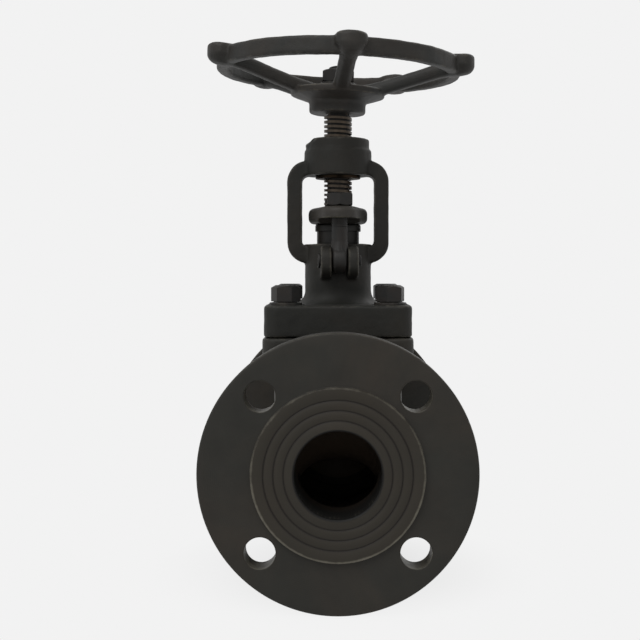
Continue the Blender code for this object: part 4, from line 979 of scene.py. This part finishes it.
worked("DIFFERENCE", gland, arches)
cast(gland, grain=0.5, rounding=5, ripple=0.25, ripple_size=6.0)
worked("DIFFERENCE", gland, cuts)
nut_seat = high.z + 0.3
dress(gland, "gland_bridge", gland_steel)
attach(gland, "gland")
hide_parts("gland_flange")

# Eyebolts, pins and gland nuts: forged and blackened, one set in front and one behind. The
# eyebolts hang on their pins and pull the gland flange down.
eye_radius, eye_half, shank_radius, shank_root, thread_from = 8.6, 4.7, 5.0, 4.3, 21.0
nut_flats, nut_height, tapped_radius, tapped_mouth = 16.0, 8.0, 5.3, 7.4
pin_tip, pin_radius, pin_head, pin_head_height = 13.7, 3.5, 4.8, 1.4
bolt_end = nut_seat + nut_height - pin_height
across = Matrix.Rotation(math.pi / 2, 4, "Y")
for end, side in ((0, "front"), (math.pi, "rear")):
    at_pin = Matrix.Rotation(clamp_turn + end, 4, "Z") \
        @ Matrix.Translation((0, -pin_reach, pin_height))
    eyebolt = solid("eyebolt", turned(rounded([
        (0, -eye_half, 0), (eye_radius, -eye_half, 2.2), (eye_radius, eye_half, 2.2),
        (0, eye_half, 0)], 6), 64), across)
    shaft = solid("shaft", turned(rounded([
        (0, 0, 0), (6.2, 0, 0), (6.2, 6, 0), (shank_radius, 12, 6), (shank_radius, thread_from, 0),
        (shank_root, thread_from + 0.7, 0), (shank_root, bolt_end - 0.1, 0),
        (0, bolt_end, 0)]), 64))
    screw = grown("screw", thread_tree, Pitch=1.5, Turns=16.0, Root_Radius=shank_root,
                  Crest_Radius=shank_radius, Root_Width=1.2, Crest_Width=0.3,
                  Start=thread_from - 0.6, Material=black_steel)
    worked("INTERSECT", screw, [solid("envelope", turned([
        (0, thread_from - 0.2), (shank_radius, thread_from - 0.2), (shank_radius, bolt_end - 0.8),
        (shank_root, bolt_end - 0.02), (0, bolt_end - 0.02)]))])
    worked("UNION", eyebolt, [shaft, screw])
    worked("DIFFERENCE", eyebolt, [solid("eye_hole", rod(pin_hole, -9, 9), across)])
    eyebolt.data.transform(at_pin)
    dress(eyebolt, f"clamp_eyebolt_{side}", black_steel)
    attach(eyebolt, f"eyebolt_{side}")
    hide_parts(f"eyebolt_{side}")

    pin = solid("pin", turned(rounded([
        (0, -pin_tip, 0), (pin_head, -pin_tip, 0.6), (pin_head, pin_head_height - pin_tip, 0),
        (pin_radius, pin_head_height - pin_tip, 0), (pin_radius, pin_tip, 0.8),
        (0, pin_tip, 0)], 4), 48), across, at_pin)
    dress(pin, f"hinge_pin_{side}", black_steel)
    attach(pin, f"eyebolt_{side}")
    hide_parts(f"eyebolt_pin_{side}")

    nut = hexagon("nut", nut_flats, nut_seat, nut_seat + nut_height, under=True, turn=math.pi / 6)
    worked("DIFFERENCE", nut, [solid("tapped", turned([
        (0, nut_seat - 2), (tapped_mouth, nut_seat - 2), (tapped_radius, nut_seat + 0.6),
        (tapped_radius, nut_seat + 7.4), (tapped_mouth, nut_seat + 9.5), (0, nut_seat + 9.5)],
        64))])
    nut.data.transform(Matrix.Rotation(clamp_turn + end, 4, "Z")
                       @ Matrix.Translation((0, -pin_reach, 0)))
    dress(nut, f"clamp_nut_{side}", black_steel, sharp=25)
    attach(nut, f"gland_nut_{side}")
    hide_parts(f"gland_nut_{side}")

# Yoke nut and its set screw: bronze, turned, held up in the hub by its collar and kept from
# turning by the screw. The stem's thread runs in it.
bronze = machined("oiled bronze", "#3A2F25", 0.6, grime="#12100C", grime_share=0.98)
low, high = box("yoke_nut")
nut_outer, nut_inner = 13.0, 9.3
yoke_nut = solid("yoke_nut", turned(rounded([
    (nut_inner, low.z, 0), (high.x, low.z, 0.4), (high.x, window_top - 0.3, 0),
    (nut_outer, window_top - 0.3, 0), (nut_outer, high.z, 0.5), (nut_inner, high.z, 0)], 3)))
dress(yoke_nut, "bronze_yoke_nut", bronze)
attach(yoke_nut, "root")
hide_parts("yoke_nut")

low, high = box("yoke_nut_set_screw")
screw_radius, slot_width, slot_depth = 3.0, 1.0, 1.4
at_screw = Matrix.Translation((0, 0, (low.z + high.z) / 2))
set_screw = solid("set_screw", rod(screw_radius, low.y, high.y), ALONG_FLOW, at_screw)
slot = prism(square(8, slot_width, 0.1), high.y - slot_depth, high.y + 2)
worked("DIFFERENCE", set_screw, [solid("slot", slot, ALONG_FLOW, at_screw)])
dress(set_screw, "slotted_set_screw", black_steel)
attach(set_screw, "root")
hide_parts("yoke_nut_set_screw")

# Handwheel: grey iron, cast in one: a hub with a square hole and a dished plate, five spokes that
# rise to the rim, and a grip lobe on the rim at each. It sits a little out of square on the stem.
wheel_iron = blackened("black paint on cast iron", "#252523", "#2E2924", "#5F594D", 0.56, 0.26,
                       grain=0.9, relief=0.12, patch=50.0)
hub_face, hub_bottom, hub_radius, square_hole = 236.4, wheel_seat, 18.6, 13.0
wheel_tilt, wheel_turn = math.radians(1.7), math.radians(5.3 - 90)
sizes = {"Rim_Radius": 80.0, "Rim_Width": 7.5, "Rim_Height": 11.0, "Rim_Middle": 249.2,
         "Lobe_Reach": 9.6, "Lobe_Height": 15.4, "Lobe_Angle": 0.243, "Spokes": 5,
         "Turn": wheel_turn, "Hub_Radius": hub_radius, "Spoke_Start": 230.6, "Spoke_Width": 10.6,
         "Spoke_Thickness": 8.8, "Root_Flare": 0.35}
kinds = {label: "Int" if label == "Spokes" else "Float" for label in sizes}
wheel_tree, given = new_tree("cast handwheel", **kinds, Material="Material")


x, y, z = add(wheel_tree, "ShaderNodeSeparateXYZ", {
    0: add(wheel_tree, "GeometryNodeInputPosition")}).outputs
along = add(wheel_tree, "GeometryNodeSplineParameter").outputs["Factor"]
number = add(wheel_tree, "GeometryNodeInputIndex").outputs[0]
lobe_taper, swell_power, rise_power, rise_mean, rise_tilt = 0.7, 0.36, 0.6, 0.7, 0.25
bend_share, tip_share, flare_power = 0.38, -0.45, 4.0
# The rule of the wheel, one step to a line: each names a result, how it is worked out, and what
# from. A lobe is broad and domed on top, and its lower half narrows towards the rim and the spoke.
worked_out = {"x": x, "y": y, "z": z, "along": along, "number": number}
worked_out.update({socket.name: socket for socket in given})
for result, operation, *terms in (
        ("rim middle line", "MULTIPLY_ADD", "Rim Width", -0.5, "Rim Radius"),
        ("rim inside", "SUBTRACT", "Rim Radius", "Rim Width"),
        ("half rim", "MULTIPLY", "Rim Height", 0.5),
        ("half lobe", "MULTIPLY", "Lobe Angle", 0.5),
        ("pitch", "DIVIDE", 2 * math.pi, "Spokes"),
        ("half pitch", "MULTIPLY", "pitch", 0.5),
        ("half pitch back", "MULTIPLY", "half pitch", -1.0),
        ("x squared", "MULTIPLY", "x", "x"),
        ("y squared", "MULTIPLY", "y", "y"),
        ("reach squared", "ADD", "x squared", "y squared"),
        ("reach", "SQRT", "reach squared"),
        ("bearing", "ARCTAN2", "y", "x"),
        ("angle", "SUBTRACT", "bearing", "Turn"),
        ("off", "WRAP", "angle", "half pitch", "half pitch back"),
        ("level", "DIVIDE", "z", "half rim"),
        ("below", "MINIMUM", "level", 0.0),
        ("narrowed", "MULTIPLY_ADD", "below", -lobe_taper, 1.0),
        ("share off", "DIVIDE", "off", "half lobe"),
        ("turned off", "MULTIPLY", "share off", "narrowed"),
        ("turned off squared", "MULTIPLY", "turned off", "turned off"),
        ("dome", "SUBTRACT", 1.0, "turned off squared"),
        ("fall", "MAXIMUM", "dome", 0.0),
        ("swell", "POWER", "fall", swell_power),
        ("from inside", "SUBTRACT", "reach", "rim inside"),
        ("outness", "DIVIDE", "from inside", "Rim Width"),
        ("below squared", "MULTIPLY", "below", "below"),
        ("round below", "SUBTRACT", 1.0, "below squared"),
        ("not flat", "MAXIMUM", "round below", 0.04),
        ("tucked in", "SQRT", "not flat"),
        ("swell tucked in", "MULTIPLY", "swell", "tucked in"),
        ("swell outwards", "MULTIPLY", "swell tucked in", "outness"),
        ("pushed", "MULTIPLY", "swell outwards", "Lobe Reach"),
        ("new reach", "ADD", "reach", "pushed"),
        ("grow", "DIVIDE", "new reach", "reach"),
        ("new x", "MULTIPLY", "x", "grow"),
        ("new y", "MULTIPLY", "y", "grow"),
        ("height share", "DIVIDE", "Lobe Height", "Rim Height"),
        ("taller", "SUBTRACT", "height share", 1.0),
        ("side", "SIGN", "z"),
        ("upward", "MULTIPLY_ADD", "side", rise_tilt, rise_mean),
        ("rise", "POWER", "fall", rise_power),
        ("risen", "MULTIPLY", "rise", "upward"),
        ("stretch", "MULTIPLY_ADD", "risen", "taller", 1.0),
        ("new z", "MULTIPLY_ADD", "z", "stretch", "Rim Middle"),
        ("spoke start", "MULTIPLY", "Hub Radius", 0.75),
        ("spoke rise", "SUBTRACT", "Rim Middle", "Spoke Start"),
        ("bend out", "MULTIPLY", "Rim Radius", 0.5),
        ("bend up", "MULTIPLY_ADD", "spoke rise", bend_share, "Spoke Start"),
        ("tip out", "MULTIPLY_ADD", "Rim Width", tip_share, "Rim Radius"),
        ("from middle", "MULTIPLY_ADD", "along", 2.0, -1.0),
        ("from middle either way", "ABSOLUTE", "from middle"),
        ("near an end", "POWER", "from middle either way", flare_power),
        ("flare", "MULTIPLY_ADD", "near an end", "Root Flare", 1.0),
        ("spoke turn", "MULTIPLY_ADD", "number", "pitch", "Turn")):
    worked_out[result] = add(wheel_tree, "ShaderNodeMath", {
        k: worked_out.get(term, term) for k, term in enumerate(terms)}, operation=operation)

rim_path = add(wheel_tree, "GeometryNodeCurvePrimitiveCircle", {
    "Resolution": 400, "Radius": worked_out["rim middle line"]})
rim_section = add(wheel_tree, "GeometryNodeResampleCurve", {
    "Curve": soft_section(wheel_tree, given["Rim Width"], given["Rim Height"], 1.6, 4),
    "Count": 48})
rim = add(wheel_tree, "GeometryNodeCurveToMesh", {"Curve": rim_path,
                                                  "Profile Curve": rim_section})
start, bend, tip, spoke_turn, swollen = (
    add(wheel_tree, "ShaderNodeCombineXYZ", {k: worked_out[part] for k, part in parts.items()})
    for parts in ({0: "spoke start", 2: "Spoke Start"}, {0: "bend out", 2: "bend up"},
                  {0: "tip out", 2: "Rim Middle"}, {2: "spoke turn"},
                  {0: "new x", 1: "new y", 2: "new z"}))
lobed = add(wheel_tree, "GeometryNodeSetPosition", {"Geometry": rim, "Position": swollen})
spoke_path = add(wheel_tree, "GeometryNodeCurveQuadraticBezier", {
    "Resolution": 48, "Start": start, "Middle": bend, "End": tip})
spoke_section = soft_section(wheel_tree, given["Spoke Width"], given["Spoke Thickness"], 3.7, 4)
spoke = add(wheel_tree, "GeometryNodeCurveToMesh", {
    "Curve": spoke_path, "Profile Curve": spoke_section, "Scale": worked_out["flare"],
    "Fill Caps": True})
spoke_points = add(wheel_tree, "GeometryNodePoints", {"Count": given["Spokes"]})
spokes = add(wheel_tree, "GeometryNodeInstanceOnPoints", {
    "Points": spoke_points, "Instance": spoke, "Rotation": spoke_turn})
whole = add(wheel_tree, "GeometryNodeJoinGeometry")
for made in (lobed, spokes):
    wheel_tree.links.new(made.outputs[0], whole.inputs[0])
finish_tree(wheel_tree, given, whole)

out_of_square = Matrix.Translation((0, 0, hub_face)) @ Matrix.Rotation(wheel_tilt, 4, "Y") \
    @ Matrix.Translation((0, 0, -hub_face))
dish_radius, dish_low, dish_top, dish_drop = 31.0, 229.7, 234.0, 4.0
hub = solid("hub", turned(rounded([
    (0, hub_bottom, 0), (hub_radius, hub_bottom, 1.5), (hub_radius, dish_low - dish_drop, 2.5),
    (dish_radius, dish_low, 0.8), (dish_radius, dish_top, 1.0), (hub_radius, dish_top, 0),
    (hub_radius, hub_face, 1.5), (0, hub_face, 0)])))
wheel = joined([grown("wheel", wheel_tree, **sizes, Material=wheel_iron), hub])
wheel.data.transform(out_of_square)
cast(wheel, grain=0.75, rounding=4, ripple=0.5)
worked("DIFFERENCE", wheel, [solid("square_hole", prism(square(square_hole, square_hole, 1.0),
                                                        hub_bottom - 9, hub_face + 9))])
dress(wheel, "cast_handwheel", wheel_iron)
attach(wheel, "stem")
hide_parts("handwheel")

# Wheel washer and wheel nut: blackened steel, drawn down on the hub, so they share its tilt.
nut_bore_radius, nut_mouth, washer_radius = 6.6, 8.6, 12.0
wheel_washer = solid("wheel_washer", flat_ring(nut_bore_radius, washer_radius, 1.6, 0.3),
                     Matrix.Translation((0, 0, hub_face + 0.3)), out_of_square)
dress(wheel_washer, "wheel_washer_ring", black_steel)
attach(wheel_washer, "stem")
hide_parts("wheel_washer")

wheel_nut_flats, nut_low, nut_top = 20.5, hub_face + 2.2, hub_face + 10.4
wheel_nut = hexagon("wheel_nut", wheel_nut_flats, nut_low, nut_top, under=True, turn=math.pi / 6)
worked("DIFFERENCE", wheel_nut, [solid("tapped", turned([
    (0, nut_low - 2), (nut_mouth, nut_low - 2), (nut_bore_radius, nut_low),
    (nut_bore_radius, nut_top), (nut_mouth, nut_top + 2), (0, nut_top + 2)], 64))])
wheel_nut.data.transform(out_of_square)
dress(wheel_nut, "wheel_hexagon_nut", black_steel, sharp=25)
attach(wheel_nut, "stem")
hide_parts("wheel_nut")

# Studio: a pale paper floor and a pale room, a wide soft lamp above in front and a fainter one
# behind, and a level camera before the inlet flange, a little above the flow line.
paper, room_grey = linear("#F2F2F2"), (0.50, 0.50, 0.50, 1)
fade_radius, fade_least, floor_radius, floor_height = 0.16, 0.55, 4000, -80.2


def seen_pale(tree):
    """Paper white for what the camera sees, also in a reflection, and grey for the light."""
    path = add(tree, "ShaderNodeLightPath").outputs
    some = add(tree, "ShaderNodeMath", {0: path["Is Camera Ray"], 1: path["Is Glossy Ray"]},
               operation="MAXIMUM")
    seen = add(tree, "ShaderNodeMath", {0: some, 1: path["Is Transmission Ray"]},
               operation="MAXIMUM")
    return add(tree, "ShaderNodeMix", {0: seen, 6: room_grey, 7: paper},
               data_type="RGBA").outputs[2]


world = bpy.data.worlds.new("room")
world.use_nodes = True
bpy.context.scene.world = world
connect(world.node_tree, world.node_tree.nodes["Background"],
        {"Color": seen_pale(world.node_tree)})

floor_material = bpy.data.materials.new("pale paper floor")
floor_material.use_nodes = True
tree = floor_material.node_tree
tree.nodes.remove(tree.nodes["Principled BSDF"])
place = add(tree, "ShaderNodeTexCoord").outputs["Object"]
away = add(tree, "ShaderNodeVectorMath", {0: place}, operation="LENGTH").outputs["Value"]
fade = add(tree, "ShaderNodeMapRange", {"Value": away, "From Min": 0.0, "From Max": fade_radius,
                                        "To Min": fade_least}, interpolation_type="SMOOTHSTEP")
lit = add(tree, "ShaderNodeBsdfDiffuse", {"Color": paper})
glow = add(tree, "ShaderNodeEmission", {"Color": seen_pale(tree)})
connect(tree, tree.nodes["Material Output"], {
    "Surface": add(tree, "ShaderNodeMixShader", {0: fade, 1: lit, 2: glow})})
bm = bmesh.new()
bmesh.ops.create_circle(bm, cap_ends=True, segments=64, radius=floor_radius)
floor = solid("floor", bm, Matrix.Translation((0, 0, floor_height)))
floor.data.transform(Matrix.Scale(0.001, 4))
floor.data.materials.append(floor_material)

for name, place, aim, width, watts in (("key", (-0.6, -1.05, 1.35), (0, 0, 0.08), 1.2, 15.5),
                                       ("rim", (0.7, 0.9, 1.0), (0, 0, 0.1), 0.8, 3.5)):
    lamp = bpy.data.lights.new(name, "AREA")
    lamp.size = width
    lamp.energy = watts
    stand = bpy.data.objects.new(name, lamp)
    stand.location = place
    stand.rotation_euler = (Vector(aim) - Vector(place)).to_track_quat("-Z", "Y").to_euler()
    bpy.context.collection.objects.link(stand)

eye = bpy.data.cameras.new("eye")
eye.lens = 64.9
eye.sensor_width = 36.0
eye.shift_x = -0.0281
eye.shift_y = -0.081
camera = bpy.data.objects.new("camera", eye)
camera.location = (0, -0.762, 0.1166)
camera.rotation_euler = (math.pi / 2, 0, 0)
bpy.context.collection.objects.link(camera)
bpy.context.scene.camera = camera
bpy.context.scene.view_settings.view_transform = "Standard"
